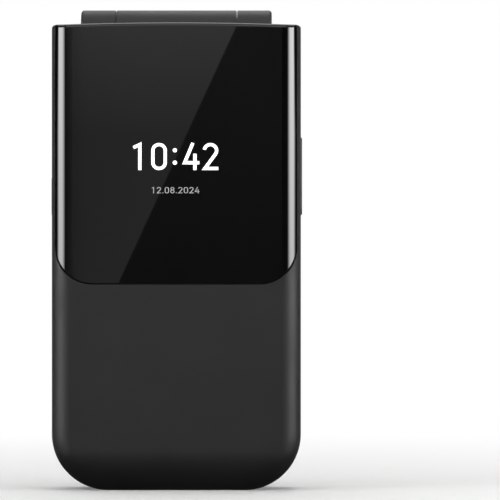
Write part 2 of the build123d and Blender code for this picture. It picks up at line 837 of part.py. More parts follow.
with BuildPart() as side_key:
    with BuildSketch(Plane.YZ.offset(-half_width + side_button_root)):
        with Locations((side_button_y, side_button_z)):
            SlotOverall(side_button_length, side_button_height, rotation=90)
    extrude(amount=-side_button_root - side_button_reach)
    fillet(side_key.faces().sort_by(Axis.X)[0].edges(), radius=key_edge_radius)
    with Locations((-half_width + side_button_root + button_flange / 2, side_button_y, side_button_z)):
        Box(button_flange, side_button_height + 2 * button_flange_margin, side_button_length + 2 * button_flange_margin)
side_key.part.label = "side_key"
export_step(side_key.part, "parts/side_key.step")

# The base's shells and the battery cover

with BuildPart() as bottom_ports:
    with BuildSketch(Plane.XY.offset(-1)):
        with Locations((0, usb_y)):
            RectangleRounded(usb_width + usb_mouth, usb_height + usb_mouth, small_corner)
        with Locations((jack_x, jack_y)):
            Circle(jack_bore_radius + jack_mouth)
        with Locations((mic_x, mic_y)):
            Circle(mic_hole_radius)
    extrude(amount=2 * frame_wall)

with BuildPart() as base_front_shell:
    with BuildSketch(facing(base_split_y)):
        add(body_outline(0))
    extrude(amount=base_split_y - base_face_y)
    fillet(base_front_shell.faces().sort_by(Axis.Y)[0].edges(), radius=base_edge_radius)
    with BuildSketch(facing(base_split_y)):
        add(body_outline(base_wall))
        with Locations((0, closed_height)):
            Rectangle(body_width, 2 * (closed_height - cavity_top_z), mode=Mode.SUBTRACT)
    extrude(amount=base_split_y - base_face_y - base_face_thickness, mode=Mode.SUBTRACT)
    with BuildSketch(facing(bay_floor_y - glue_gap)):
        with Locations(*base_screw_places):
            Circle(base_boss_radius)
    extrude(amount=bay_floor_y - glue_gap - base_face_y - base_face_thickness / 2)
    with BuildSketch(facing(base_split_y)):
        with Locations(*base_screw_places):
            Circle(base_screw_radius + glue_gap)
    extrude(amount=base_split_y - bay_top_y + base_screw_length, mode=Mode.SUBTRACT)
    with BuildSketch(facing(0)):
        for name, place, width, height in flat_keys:
            with Locations(place):
                RectangleRounded(width + 2 * key_gap, height + 2 * key_gap, key_corner + key_gap)
        with Locations((0, scroll_z)):
            RectangleRounded(scroll_size + 2 * key_gap, scroll_size + 2 * key_gap, scroll_corner + key_gap)
    extrude(amount=closed_thickness, mode=Mode.SUBTRACT)
    add(swing_room(knuckle_start - side_gap / 2, knuckle_end + side_gap), mode=Mode.SUBTRACT)
    add(vee_room(knuckle_end + side_gap), mode=Mode.SUBTRACT)
    add(hinge_rod(hinge_radius, -barrel_half, barrel_half))
    add(hinge_rod(cartridge_bore_radius, -barrel_half - 1, bore_step_x), mode=Mode.SUBTRACT)
    add(hinge_rod(pin_bore_radius, 0, barrel_half + 1), mode=Mode.SUBTRACT)
    with Locations((flex_start_x + flex_width / 2, flex_y, cavity_top_z + flex_slot_length / 2 - fit_gap)):
        Box(flex_width + 2 * flex_gap, flex_thickness + 2 * flex_gap, flex_slot_length, mode=Mode.SUBTRACT)
    slot_width = side_button_height + 2 * side_button_gap
    with BuildSketch(Plane.YZ.offset(half_width)):
        with Locations((side_button_y, volume_z)):
            SlotOverall(volume_length + 2 * side_button_gap, slot_width, rotation=90)
    extrude(amount=-base_wall, mode=Mode.SUBTRACT)
    with BuildSketch(Plane.YZ.offset(-half_width)):
        with Locations((side_button_y, side_button_z)):
            SlotOverall(side_button_length + 2 * side_button_gap, slot_width, rotation=90)
    extrude(amount=base_wall, mode=Mode.SUBTRACT)
    add(bottom_ports.part, mode=Mode.SUBTRACT)
base_front_shell.part.label = "base_front_shell"
export_step(base_front_shell.part, "parts/base_front_shell.step")

notch_radius = (notch_half**2 + notch_depth**2) / (2 * notch_depth)
notch_x = -half_width + notch_depth - notch_radius
with BuildPart() as base_rear_frame:
    with BuildSketch(facing(rim_y)):
        add(body_outline(0))
        add(body_outline(frame_wall), mode=Mode.SUBTRACT)
    extrude(amount=rim_y - base_split_y)
    with BuildSketch(facing(rim_y + 1)):
        add(body_outline(rim_width, -2))
        with Locations((notch_x, notch_z)):
            Circle(notch_radius + rim_width, mode=Mode.SUBTRACT)
        with Locations((0, 0)):
            Rectangle(2 * cover_tab_half, 4)
    extrude(amount=rim_y + 1 - cover_seat_y, mode=Mode.SUBTRACT)
    with BuildSketch(facing(rim_y + 1)):
        with Locations((notch_x, notch_z)):
            Circle(notch_radius)
    extrude(amount=rim_y + 1 - notch_floor_y, mode=Mode.SUBTRACT)
    with BuildSketch(facing(bay_floor_y + bay_floor_thickness)):
        add(body_outline(base_wall + glue_gap))
        with Locations((0, closed_height)):
            Rectangle(body_width, 2 * (closed_height - cavity_top_z + 0.1), mode=Mode.SUBTRACT)
    extrude(amount=bay_floor_thickness)
    with BuildSketch(facing(bay_floor_y + bay_floor_thickness)):
        with Locations((0, camera_z)):
            RectangleRounded(camera_box_size + small_corner, camera_box_size + small_corner, small_corner)
        with Locations((flash_x, flash_z)):
            Rectangle(flash_box_size + small_corner, flash_box_size + small_corner)
        with Locations((0, frame_wall + usb_depth / 2)):
            Rectangle(usb_width + usb_mouth, usb_depth)
        with Locations((jack_x, frame_wall + jack_length / 2)):
            Rectangle(2 * (jack_body_radius + fit_gap), jack_length + 2 * fit_gap)
        with Locations((0, contact_z)):
            Rectangle(contact_width + 2 * fit_gap, contact_height + 2 * fit_gap)
        with Locations(*base_screw_places):
            Circle(base_screw_radius + fit_gap)
    extrude(amount=bay_floor_thickness, mode=Mode.SUBTRACT)
    add(bottom_ports.part, mode=Mode.SUBTRACT)
base_rear_frame.part.label = "base_rear_frame"
export_step(base_rear_frame.part, "parts/base_rear_frame.step")

with BuildPart() as battery_cover:
    add(cover_form(0))
    add(cover_form(cover_wall), mode=Mode.SUBTRACT)
    with BuildSketch(facing(cover_seat_y + cover_tab_thickness)):
        with Locations((0, cover_tab_height / 2 + cover_gap)):
            Rectangle(2 * (cover_tab_half - cover_gap), cover_tab_height)
    extrude(amount=cover_tab_thickness)
    with BuildSketch(facing(back_y + 1)):
        with Locations((notch_x, notch_z)):
            Circle(notch_radius + rim_width + cover_gap)
        with Locations((0, camera_z)):
            Circle(camera_hole_radius)
        with Locations((flash_x, flash_z)):
            Circle(flash_hole_radius)
        with Locations((rear_mic_x, rear_mic_z)):
            Circle(rear_mic_radius)
        with Locations((speaker_x, speaker_z)):
            with GridLocations(0, speaker_slot_pitch, 1, speaker_slot_count):
                SlotOverall(speaker_slot_length, speaker_slot_width)
    extrude(amount=back_y + 2, mode=Mode.SUBTRACT)
battery_cover.part.label = "battery_cover"
export_step(battery_cover.part, "parts/battery_cover.step")

with BuildPart() as speaker_mesh:
    with BuildSketch(facing(back_y)):
        with Locations((speaker_x, speaker_z)):
            RectangleRounded(speaker_mesh_width, speaker_mesh_height, small_corner)
    extrude(amount=back_y - cover_seat_y)
    add(cover_form(cover_wall + tolerance), mode=Mode.INTERSECT)
    add(cover_form(cover_wall + speaker_mesh_thickness), mode=Mode.SUBTRACT)
speaker_mesh.part.label = "speaker_mesh"
export_step(speaker_mesh.part, "parts/speaker_mesh.step")

# Inside the base

with BuildPart() as keypad_mat:
    with BuildSketch(facing(dome_front_y)):
        with Locations((0, mat_z)):
            RectangleRounded(mat_width, mat_height, mat_corner)
    extrude(amount=dome_front_y - mat_front_y)
keypad_mat.part.label = "keypad_mat"
export_step(keypad_mat.part, "parts/keypad_mat.step")

with BuildPart() as dome_sheet:
    with BuildSketch(facing(board_front_y)):
        with Locations((0, mat_z)):
            RectangleRounded(mat_width - dome_sheet_inset, mat_height - dome_sheet_inset, mat_corner)
    extrude(amount=board_front_y - dome_front_y)
dome_sheet.part.label = "dome_sheet"
export_step(dome_sheet.part, "parts/dome_sheet.step")

with BuildPart() as main_board:
    with BuildSketch(facing(board_back_y)):
        add(body_outline(board_inset))
        with Locations((0, closed_height)):
            Rectangle(body_width, 2 * (closed_height - board_top_z), mode=Mode.SUBTRACT)
        with Locations(*base_screw_places):
            Circle(base_boss_radius + board_cutout_gap, mode=Mode.SUBTRACT)
        with Locations((jack_x, 0)):
            Rectangle(2 * (jack_body_radius + board_cutout_gap), 2 * jack_cutout_top_z, mode=Mode.SUBTRACT)
    extrude(amount=board_back_y - board_front_y)
    with BuildSketch(facing(board_back_y + board_part_thickness)):
        with Locations((-board_switch_x, side_button_z), (board_switch_x, volume_z)):
            Rectangle(board_switch_width, board_switch_height)
        with Locations(*board_chip_places):
            Rectangle(board_chip_width, board_chip_height)
    extrude(amount=board_part_thickness)
main_board.part.label = "main_board"
export_step(main_board.part, "parts/main_board.step")

with BuildPart() as shield_cans:
    can_top_y = bay_floor_y - can_top_gap
    can_sizes = [(-can_x, upper_can_z, upper_can_size), (can_x, upper_can_z, upper_can_size)]
    can_sizes += [(0, lower_can_z, lower_can_size)]
    with BuildSketch(facing(can_top_y)):
        for x, z, size in can_sizes:
            with Locations((x, z)):
                RectangleRounded(*size, can_corner)
    extrude(amount=can_top_y - board_back_y)
    with BuildSketch(facing(can_top_y - can_sheet)):
        for x, z, size in can_sizes:
            with Locations((x, z)):
                RectangleRounded(size[0] - 2 * can_sheet, size[1] - 2 * can_sheet, small_corner)
    extrude(amount=can_top_y - can_sheet - board_back_y, mode=Mode.SUBTRACT)
shield_cans.part.label = "shield_cans"
export_step(shield_cans.part, "parts/shield_cans.step")

with BuildPart() as usb_connector:
    with BuildSketch(Plane.XY.offset(usb_start_z)):
        with Locations((0, usb_y)):
            RectangleRounded(usb_width, usb_height, small_corner)
    extrude(amount=usb_depth)
    with BuildSketch(Plane.XY.offset(usb_start_z)):
        with Locations((0, usb_y)):
            RectangleRounded(usb_width - 2 * usb_wall, usb_height - 2 * usb_wall, small_corner - usb_wall)
    extrude(amount=usb_depth - usb_tongue_start_z, mode=Mode.SUBTRACT)
    with BuildSketch(Plane.XY.offset(usb_tongue_start_z)):
        with Locations((0, usb_y + usb_tongue_offset)):
            Rectangle(usb_tongue_width, usb_tongue_thickness)
    extrude(amount=usb_depth - usb_tongue_start_z)
usb_connector.part.label = "usb_connector"
export_step(usb_connector.part, "parts/usb_connector.step")

with BuildPart() as audio_jack:
    with BuildSketch(Plane.XY.offset(jack_bottom_z)):
        with Locations((jack_x, jack_y)):
            RectangleRounded(2 * jack_body_radius, 2 * jack_body_radius, small_corner)
    extrude(amount=jack_length)
    with BuildSketch(Plane.XY.offset(jack_bottom_z)):
        with Locations((jack_x, jack_y)):
            Circle(jack_bore_radius)
    extrude(amount=jack_length - jack_end_wall, mode=Mode.SUBTRACT)
audio_jack.part.label = "audio_jack"
export_step(audio_jack.part, "parts/audio_jack.step")

with BuildPart() as loudspeaker:
    with BuildSketch(facing(speaker_body_y)):
        with Locations((speaker_x, speaker_z)):
            RectangleRounded(speaker_width, speaker_height, board_corner)
    extrude(amount=speaker_body_y - bay_top_y)
    with BuildSketch(facing(speaker_face_y)):
        with Locations((speaker_x, speaker_z)):
            RectangleRounded(speaker_mesh_width, speaker_mesh_height, board_corner)
    extrude(amount=speaker_face_y - speaker_body_y)
loudspeaker.part.label = "loudspeaker"
export_step(loudspeaker.part, "parts/loudspeaker.step")

with BuildPart() as vibration_motor:
    motor_y = bay_top_y + motor_radius
    with Locations((motor_x, motor_y, motor_z)):
        Cylinder(motor_radius, motor_length)
    shaft_z = motor_z + motor_length / 2
    with Locations((motor_x, motor_y, shaft_z)):
        Cylinder(motor_shaft_radius, motor_shaft_length, align=(Align.CENTER, Align.CENTER, Align.MIN))
    with Locations((motor_x, motor_y, shaft_z + motor_shaft_length / 2)):
        Cylinder(motor_weight_radius, motor_weight_length, arc_size=180, align=(Align.CENTER, Align.CENTER, Align.MIN))
vibration_motor.part.label = "vibration_motor"
export_step(vibration_motor.part, "parts/vibration_motor.step")

with BuildPart() as microphone:
    with BuildSketch(facing(mic_y + mic_thickness / 2)):
        with Locations((mic_x, mic_z)):
            RectangleRounded(mic_width, mic_height, chip_corner)
    extrude(amount=mic_thickness)
microphone.part.label = "microphone"
export_step(microphone.part, "parts/microphone.step")

with BuildPart() as camera_module:
    with BuildSketch(facing(camera_box_y)):
        with Locations((0, camera_z)):
            RectangleRounded(camera_box_size, camera_box_size, small_corner)
    extrude(amount=camera_box_y - base_split_y - glue_gap)
    with BuildSketch(facing(camera_window_y - glue_gap)):
        with Locations((0, camera_z)):
            Circle(camera_window_radius - camera_collar_step)
            Circle(camera_lens_radius, mode=Mode.SUBTRACT)
    extrude(amount=camera_window_y - glue_gap - camera_box_y)
camera_module.part.label = "camera_module"
export_step(camera_module.part, "parts/camera_module.step")

with BuildPart() as camera_window:
    with BuildSketch(facing(camera_window_y + camera_window_thickness)):
        with Locations((0, camera_z)):
            Circle(camera_window_radius)
    extrude(amount=camera_window_thickness)
    fillet(camera_window.edges().sort_by(Axis.Y)[-1], radius=glass_chamfer)
camera_window.part.label = "camera_window"
export_step(camera_window.part, "parts/camera_window.step")

with BuildPart() as flash_led:
    with BuildSketch(facing(flash_body_y)):
        with Locations((flash_x, flash_z)):
            Rectangle(flash_box_size, flash_box_size)
    extrude(amount=flash_body_y - board_back_y - glue_gap)
    with BuildSketch(facing(flash_lens_y)):
        with Locations((flash_x, flash_z)):
            Circle(flash_lens_radius)
    extrude(amount=flash_lens_y - flash_body_y)
    fillet(flash_led.faces().sort_by(Axis.Y)[-1].edges(), radius=flash_lens_edge)
flash_led.part.label = "flash_led"
export_step(flash_led.part, "parts/flash_led.step")

# A card socket: a pressed metal cover over a slot that is open towards the battery.
def card_socket(x, width, slot_width):
    with BuildPart() as socket:
        with BuildSketch(facing(bay_top_y + socket_thickness)):
            with Locations((x, socket_z)):
                RectangleRounded(width, socket_height, small_corner)
        extrude(amount=socket_thickness)
        with Locations((x, bay_top_y + socket_slot_y, socket_z - socket_slot_shift)):
            Box(slot_width, socket_slot_thickness, socket_slot_height, mode=Mode.SUBTRACT)
    return socket.part


with BuildPart() as sim_card_socket:
    add(card_socket(sim_socket_x, sim_socket_width, sim_slot_width))
sim_card_socket.part.label = "sim_card_socket"
export_step(sim_card_socket.part, "parts/sim_card_socket.step")

with BuildPart() as memory_card_socket:
    add(card_socket(memory_socket_x, memory_socket_width, memory_slot_width))
memory_card_socket.part.label = "memory_card_socket"
export_step(memory_card_socket.part, "parts/memory_card_socket.step")

with BuildPart() as battery_contacts:
    with BuildSketch(facing(bay_top_y + contact_top)):
        with Locations((0, contact_z)):
            Rectangle(contact_width, contact_height)
    extrude(amount=bay_top_y + contact_top - board_back_y - glue_gap)
    with Locations((0, bay_top_y + blade_y, contact_z + (contact_height + blade_length) / 2 - tolerance)):
        with GridLocations(blade_pitch, 0, 3, 1):
            Box(blade_width, blade_height, blade_length)
battery_contacts.part.label = "battery_contacts"
export_step(battery_contacts.part, "parts/battery_contacts.step")

with BuildPart() as antenna_carrier:
    with BuildSketch(facing(antenna_top_y)):
        with Locations((antenna_x, antenna_z)):
            RectangleRounded(antenna_width, antenna_height, antenna_corner)
    extrude(amount=antenna_top_y - bay_top_y)
    with BuildSketch(facing(antenna_top_y)):
        with Locations((antenna_x, antenna_z)):
            RectangleRounded(antenna_width - 2 * antenna_wall, antenna_height - 2 * antenna_wall, small_corner)
    extrude(amount=antenna_depth, mode=Mode.SUBTRACT)
antenna_carrier.part.label = "antenna_carrier"
export_step(antenna_carrier.part, "parts/antenna_carrier.step")

with BuildPart() as base_screws:
    add(screws(base_screw_places, bay_top_y, base_head_radius, base_screw_radius, base_screw_length))
base_screws.part.label = "base_screws"
export_step(base_screws.part, "parts/base_screws.step")

with BuildPart() as battery:
    with BuildSketch(facing(bay_top_y + battery_thickness)):
        with Locations((0, battery_bottom_z + battery_height / 2)):
            RectangleRounded(battery_width, battery_height, board_corner)
    extrude(amount=battery_thickness)
    fillet(battery.faces().sort_by(Axis.Y)[-1].edges(), radius=battery_edge)
battery.part.label = "battery"
export_step(battery.part, "parts/battery.step")
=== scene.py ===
import math
from contextlib import contextmanager
import bmesh
import bpy
from mathutils import Matrix, Vector
from mathutils.bvhtree import BVHTree


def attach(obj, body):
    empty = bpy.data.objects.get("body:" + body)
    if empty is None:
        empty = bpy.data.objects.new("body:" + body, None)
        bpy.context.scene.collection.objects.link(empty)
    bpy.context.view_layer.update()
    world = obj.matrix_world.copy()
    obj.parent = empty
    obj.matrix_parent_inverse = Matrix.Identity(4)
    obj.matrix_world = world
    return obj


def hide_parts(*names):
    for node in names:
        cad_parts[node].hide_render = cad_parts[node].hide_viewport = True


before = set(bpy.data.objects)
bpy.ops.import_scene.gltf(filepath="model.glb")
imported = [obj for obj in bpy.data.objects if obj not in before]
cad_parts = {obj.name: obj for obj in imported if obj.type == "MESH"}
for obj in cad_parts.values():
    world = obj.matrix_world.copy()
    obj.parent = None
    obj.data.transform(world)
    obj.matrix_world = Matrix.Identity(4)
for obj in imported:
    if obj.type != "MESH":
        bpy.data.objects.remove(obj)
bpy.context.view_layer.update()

mm = 0.001
mergeGap = 0.0005 * mm                # points closer than this are one
scene = bpy.context.scene

# What repeats

def srgb(code):                       # "#2f2f30" to linear red, green, blue, alpha
    parts = [int(code[i:i + 2], 16) / 255 for i in (1, 3, 5)]
    return tuple(c / 12.92 if c <= 0.04045 else ((c + 0.055) / 1.055) ** 2.4 for c in parts) + (1.0,)


# An input takes a value, a socket, or a node, of which the first output is meant.
def setInputs(tree, node, inputs):
    for name, value in inputs.items():
        if isinstance(value, bpy.types.Node):
            value = value.outputs[0]
        if isinstance(value, bpy.types.NodeSocket):
            tree.links.new(value, node.inputs[name])
        else:
            node.inputs[name].default_value = value


# A node with its settings, its inputs, and a colour ramp's stops, lowest first.
def addNode(tree, kind, inputs=None, stops=(), **settings):
    node = tree.nodes.new(kind)
    for name, value in settings.items():
        setattr(node, name, value)
    setInputs(tree, node, inputs or {})
    for position, colour in stops[1:-1]:
        node.color_ramp.elements.new(position)
    for (position, colour), element in zip(stops, node.color_ramp.elements if stops else ()):
        element.position = position
        element.color = srgb(colour) if isinstance(colour, str) else (colour, colour, colour, 1)
    return node


def startMaterial(name):
    material = bpy.data.materials.new(name)
    material.use_nodes = True
    tree = material.node_tree
    place = addNode(tree, "ShaderNodeTexCoord").outputs["Object"]
    return material, tree, tree.nodes["Principled BSDF"], place


# A value that wanders between two levels, in clouds of one size.
def wander(tree, place, cloudMm, low, high):
    cloud = addNode(tree, "ShaderNodeTexNoise", {"Vector": place, "Scale": 1 / (cloudMm * mm), "Detail": 3.0})
    return addNode(tree, "ShaderNodeMapRange", {"Value": cloud, "From Min": 0.3, "From Max": 0.7,
                                               "To Min": low, "To Max": high})


# A surface under its colour: roughness that wanders, and a fine relief.
def makeRelief(tree, shader, place, cloudMm, roughRange, grainMm, depthMm):
    grain = addNode(tree, "ShaderNodeTexNoise", {"Vector": place, "Scale": 1 / (grainMm * mm), "Detail": 3.0})
    raised = addNode(tree, "ShaderNodeBump", {"Height": grain, "Distance": depthMm * mm})
    setInputs(tree, shader, {"Roughness": wander(tree, place, cloudMm, *roughRange), "Normal": raised})


# Colours by a ramp along a value, made lighter and darker in clouds.
def cloudColour(tree, shader, place, share, stops, cloudMm, lightRange, interpolation="LINEAR"):
    ramp = addNode(tree, "ShaderNodeValToRGB", {"Fac": share}, stops)
    ramp.color_ramp.interpolation = interpolation
    light = wander(tree, place, cloudMm, *lightRange)
    clouds = addNode(tree, "ShaderNodeHueSaturation", {"Color": ramp, "Value": light})
    setInputs(tree, shader, {"Base Color": clouds})


# A plain moulded or painted finish: patchy colour, patchy roughness and a fine grain that stands proud.
def finishOf(name, dark, light, rough, grainMm=0.12, grainDepthMm=0.004, patchMm=9.0, metallic=0.0, coat=0.0,
             ior=1.5, stretch=None, glow=("#ffffff", 0.0)):
    material, tree, shader, place = startMaterial(name)
    grainPlace = place
    if stretch:
        grainPlace = addNode(tree, "ShaderNodeMapping", {"Vector": place, "Scale": stretch})
    patches = addNode(tree, "ShaderNodeTexNoise", {"Vector": place, "Scale": 1 / (patchMm * mm), "Detail": 3.0})
    grain = addNode(tree, "ShaderNodeTexNoise",
                    {"Vector": grainPlace, "Scale": 1 / (grainMm * mm), "Detail": 2.0})
    mixed = addNode(tree, "ShaderNodeMath", {0: patches, 1: grain}, operation="ADD")
    halved = addNode(tree, "ShaderNodeMath", {0: mixed, 1: 0.5}, operation="MULTIPLY")
    setInputs(tree, shader, {
        "Base Color": addNode(tree, "ShaderNodeValToRGB", {"Fac": halved}, [(0.3, dark), (0.7, light)]),
        "Roughness": addNode(tree, "ShaderNodeMapRange", {"Value": patches, "From Min": 0.3, "From Max": 0.7,
                                                         "To Min": rough * 0.92, "To Max": rough * 1.08}),
        "Normal": addNode(tree, "ShaderNodeBump", {"Height": grain, "Distance": grainDepthMm * mm}),
        "Metallic": metallic, "IOR": ior, "Coat Weight": coat, "Coat Roughness": 0.05,
        "Emission Color": srgb(glow[0]), "Emission Strength": glow[1],
    })
    return material


def addObject(name, data):
    item = bpy.data.objects.new(name, data)
    scene.collection.objects.link(item)
    return item


def newPiece(name, mesh, body, replaced=(), material=None):
    piece = addObject(name, mesh)
    if material:
        mesh.materials.clear()
        mesh.materials.append(material)
        for face in mesh.polygons:
            face.material_index = 0
    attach(piece, body)
    if replaced:
        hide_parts(*replaced)
    return piece


# The object with its modifiers worked in, as a plain mesh.
def settle(piece):
    bpy.context.view_layer.update()
    graph = bpy.context.evaluated_depsgraph_get()
    mesh = bpy.data.meshes.new_from_object(piece.evaluated_get(graph), depsgraph=graph)
    mesh.name = piece.name
    piece.modifiers.clear()
    piece.data = mesh
    return mesh


# The mesh in bmesh, written back when the block ends.
@contextmanager
def editing(mesh):
    work = bmesh.new()
    work.from_mesh(mesh)
    yield work
    work.to_mesh(mesh)
    work.free()


# Smooth but for sharp edges, with large faces leading the shading.
def shadeMoulding(mesh, sharpDegrees):
    mesh.polygons.foreach_set("use_smooth", [True] * len(mesh.polygons))
    mesh.set_sharp_from_angle(angle=math.radians(sharpDegrees))
    carrier = addObject(mesh.name, mesh)
    weighted = carrier.modifiers.new("faceWeights", "WEIGHTED_NORMAL")
    weighted.keep_sharp = True
    weighted.weight = 100
    shaded = settle(carrier)
    bpy.data.objects.remove(carrier)
    return shaded


# A moulded copy of a CAD node: doubles merged, flat faces whole.
def mouldedCopy(name, node, body, material, sharpDegrees=28, reshape=None):
    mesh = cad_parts[node].data.copy()
    mesh.name = name
    with editing(mesh) as work:
        bmesh.ops.remove_doubles(work, verts=work.verts, dist=mergeGap)
        bmesh.ops.dissolve_degenerate(work, edges=work.edges, dist=mergeGap)
        bmesh.ops.dissolve_limit(work, angle_limit=math.radians(0.05), verts=work.verts, edges=work.edges)
        if reshape:
            reshape(work)
    return newPiece(name, shadeMoulding(mesh, sharpDegrees), body, [node], material)


# A surface through rings of points; each ring has as many points as the next.
def ringMesh(name, rings, closed=True, capFirst=False, capLast=False):
    count = len(rings[0])
    points = [Vector(p) * mm for ring in rings for p in ring]
    faces = []
    for r in range(len(rings) - 1):
        for i in range(count if closed else count - 1):
            j = (i + 1) % count
            faces.append((r * count + i, r * count + j, (r + 1) * count + j, (r + 1) * count + i))
    if capFirst:
        faces.append(tuple(reversed(range(count))))
    if capLast:
        faces.append(tuple((len(rings) - 1) * count + i for i in range(count)))
    mesh = bpy.data.meshes.new(name)
    mesh.from_pydata(points, [], faces)
    return mesh


def smoothMesh(mesh, sharpDegrees=30):
    with editing(mesh) as work:
        bmesh.ops.remove_doubles(work, verts=work.verts, dist=mergeGap)
        bmesh.ops.dissolve_degenerate(work, edges=work.edges, dist=0.0003 * mm)
        bmesh.ops.recalc_face_normals(work, faces=work.faces)
    return shadeMoulding(mesh, sharpDegrees)


def joinMeshes(name, meshes):
    work = bmesh.new()
    for mesh in meshes:
        work.from_mesh(mesh)
    joined = bpy.data.meshes.new(name)
    work.to_mesh(joined)
    work.free()
    return joined


def sweepOf(low, high, steps):
    return [low + (high - low) * i / steps for i in range(steps + 1)]


def circleOf(x, y, z, radius, steps):
    return [(x + radius * math.sin(a), y, z + radius * math.cos(a)) for a in sweepOf(0, 2 * math.pi, steps)[:-1]]


# How far a place lies outside a rectangle in X and Z: below zero inside it.
def beyondRectangle(tree, place, s):
    parts = addNode(tree, "ShaderNodeSeparateXYZ", {"Vector": place}).outputs
    middleZ, halfZ = (s["lowZ"] + s["topZ"]) / 2 * mm, (s["topZ"] - s["lowZ"]) / 2 * mm
    sides = []
    for axis, middle, half in (("X", 0.0, s["half"] * mm), ("Z", middleZ, halfZ)):
        value = parts[axis]
        for operation, second in (("SUBTRACT", middle), ("ABSOLUTE", 0.0), ("SUBTRACT", half)):
            value = addNode(tree, "ShaderNodeMath", {0: value, 1: second}, operation=operation)
        sides.append(value)
    return addNode(tree, "ShaderNodeMath", {0: sides[0], 1: sides[1]}, operation="MAXIMUM")


# Materials

# ABS moulded in a spark-eroded tool: a fine even grain that breaks highlights into a soft sheen.
charcoalAbs = finishOf("charcoalMouldedAbs", "#141415", "#19191a", 0.54, grainMm=0.16, grainDepthMm=0.002)
# Frame rim: a dark frame painted mid grey, standing in for the light it catches at grazing angles: painted
# reflection.
frameRimPaintedReflection = finishOf("greySatinAbs", "#626261", "#6d6d6c", 0.4, grainMm=0.14, grainDepthMm=0.003)
# Polished acrylic, black behind: deep gloss with the slightest waviness of a moulded sheet.
pianoAcrylic = finishOf("pianoBlackAcrylic", "#060607", "#0a0a0b", 0.012, grainMm=6.0, grainDepthMm=0.0003,
                        ior=1.49)
pianoPolycarbonate = finishOf("pianoBlackPolycarbonate", "#030303", "#060607", 0.1, grainMm=5.0,
                              grainDepthMm=0.001)
# Digits that light up behind the window: a bright clock over a dimmer date.
displayGlow = finishOf("litDigitFilm", "#f4f5f6", "#ffffff", 0.3, glow=("#ffffff", 0.9))
dimGlow = finishOf("dimDigitFilm", "#8d8f91", "#96989a", 0.3, glow=("#c8cacc", 0.35))
# Satin polycarbonate keys: smoother than the shell, so that they catch a tighter sheen.
keyPlastic = finishOf("satinBlackPolycarbonate", "#131314", "#19191a", 0.34, grainMm=0.1, grainDepthMm=0.0015)
# Gunmetal paint with fine flake, for the scroll ring.
ringPaint = finishOf("gunmetalFlakePaint", "#3b3c3f", "#505155", 0.32, grainMm=0.07, grainDepthMm=0.001,
                     metallic=0.75, coat=0.3)
# Side keys, a shade lighter and smoother than the shell.
sideAbs = finishOf("satinSideKeyAbs", "#1a1a1b", "#202021", 0.36, grainMm=0.12, grainDepthMm=0.0015)
# Printing ink, thin and slightly chalky.
legendInk = finishOf("whiteLegendInk", "#d9dbdc", "#e6e8e9", 0.55, grainMm=0.09, grainDepthMm=0.001)
greenInk = finishOf("greenLegendInk", "#2f9e4a", "#37b055", 0.5, grainMm=0.09, grainDepthMm=0.001)
redInk = finishOf("redLegendInk", "#c63232", "#d63d3d", 0.5, grainMm=0.09, grainDepthMm=0.001)
# Silicone, dull and a little dusty.
greySilicone = finishOf("greySilicone", "#1c1c1d", "#272728", 0.62, grainMm=0.3, grainDepthMm=0.006)
# Polyester film over the domes, milky and a little wavy.
milkyFilm = finishOf("milkyPolyesterFilm", "#b4b8bd", "#c6cacf", 0.32, grainMm=1.2, grainDepthMm=0.004)
# Solder mask over copper, with the mottle of the tracks beneath.
solderMask = finishOf("greenSolderMask", "#08301c", "#135030", 0.34, grainMm=0.7, grainDepthMm=0.012,
                      patchMm=3.0)
# Rolled and tinned sheet: lines along the rolling, soft clouds across.
tinnedSheet = finishOf("tinnedSteelSheet", "#8f908f", "#b4b5b3", 0.3, grainMm=0.5, grainDepthMm=0.002,
                       metallic=1.0, stretch=(1, 1, 0.08))
# Glass-filled nylon, matt with a coarse grain, and a mesh of blackened steel with a dark metal glint.
blackNylon = finishOf("blackGlassFilledNylon", "#0b0b0c", "#121213", 0.5, grainMm=0.2, grainDepthMm=0.006)
blackMesh = finishOf("blackenedMeshSteel", "#161617", "#232324", 0.42, grainMm=0.1, grainDepthMm=0.003,
                     metallic=0.6)
# Plated and bare metals: warm gold, bluish zinc, yellowish nickel, and steel under a film of oil.
goldPlate = finishOf("goldPlatedBronze", "#b08434", "#cfa552", 0.22, grainMm=0.15, grainDepthMm=0.001,
                     metallic=1.0)
zincSteel = finishOf("zincPlatedSteel", "#85878a", "#a9abae", 0.28, grainMm=0.12, grainDepthMm=0.002,
                     metallic=1.0)
nickelPlate = finishOf("nickelPlate", "#a5a39c", "#bdbbb4", 0.2, grainMm=0.2, grainDepthMm=0.001, metallic=1.0)
springSteel = finishOf("oiledHingeSteel", "#5f6062", "#7d7e80", 0.3, grainMm=0.2, grainDepthMm=0.002,
                       metallic=1.0)
# Polyimide film, amber and glossy.
amberFilm = finishOf("amberPolyimideFilm", "#70400f", "#915618", 0.26, grainMm=0.8, grainDepthMm=0.004)
# Phosphor under a clear lens: strong yellow, glossy on top.
phosphor = finishOf("yellowPhosphor", "#b0ab1c", "#dedb50", 0.3, grainMm=0.25, grainDepthMm=0.004, patchMm=0.9,
                    coat=1.0)
# Anodised aluminium, dark with a hard metal edge to its highlights.
darkBezel = finishOf("blackAnodisedAluminium", "#0a0a0b", "#121214", 0.2, grainMm=0.08, grainDepthMm=0.0006,
                     metallic=0.6)
# Glass printed black behind, and a smoky one over the camera, both with a polished top.
blackGlass = finishOf("blackPrintedGlass", "#050506", "#0a0a0c", 0.04, grainMm=2.0, grainDepthMm=0.0002,
                      coat=0.6)
smokedGlass = finishOf("smokedCoverGlass", "#222224", "#2a2a2c", 0.04, grainMm=2.0, grainDepthMm=0.0002,
                       coat=0.6)
print("materials made")

# Stage: floor, lights, cards and camera

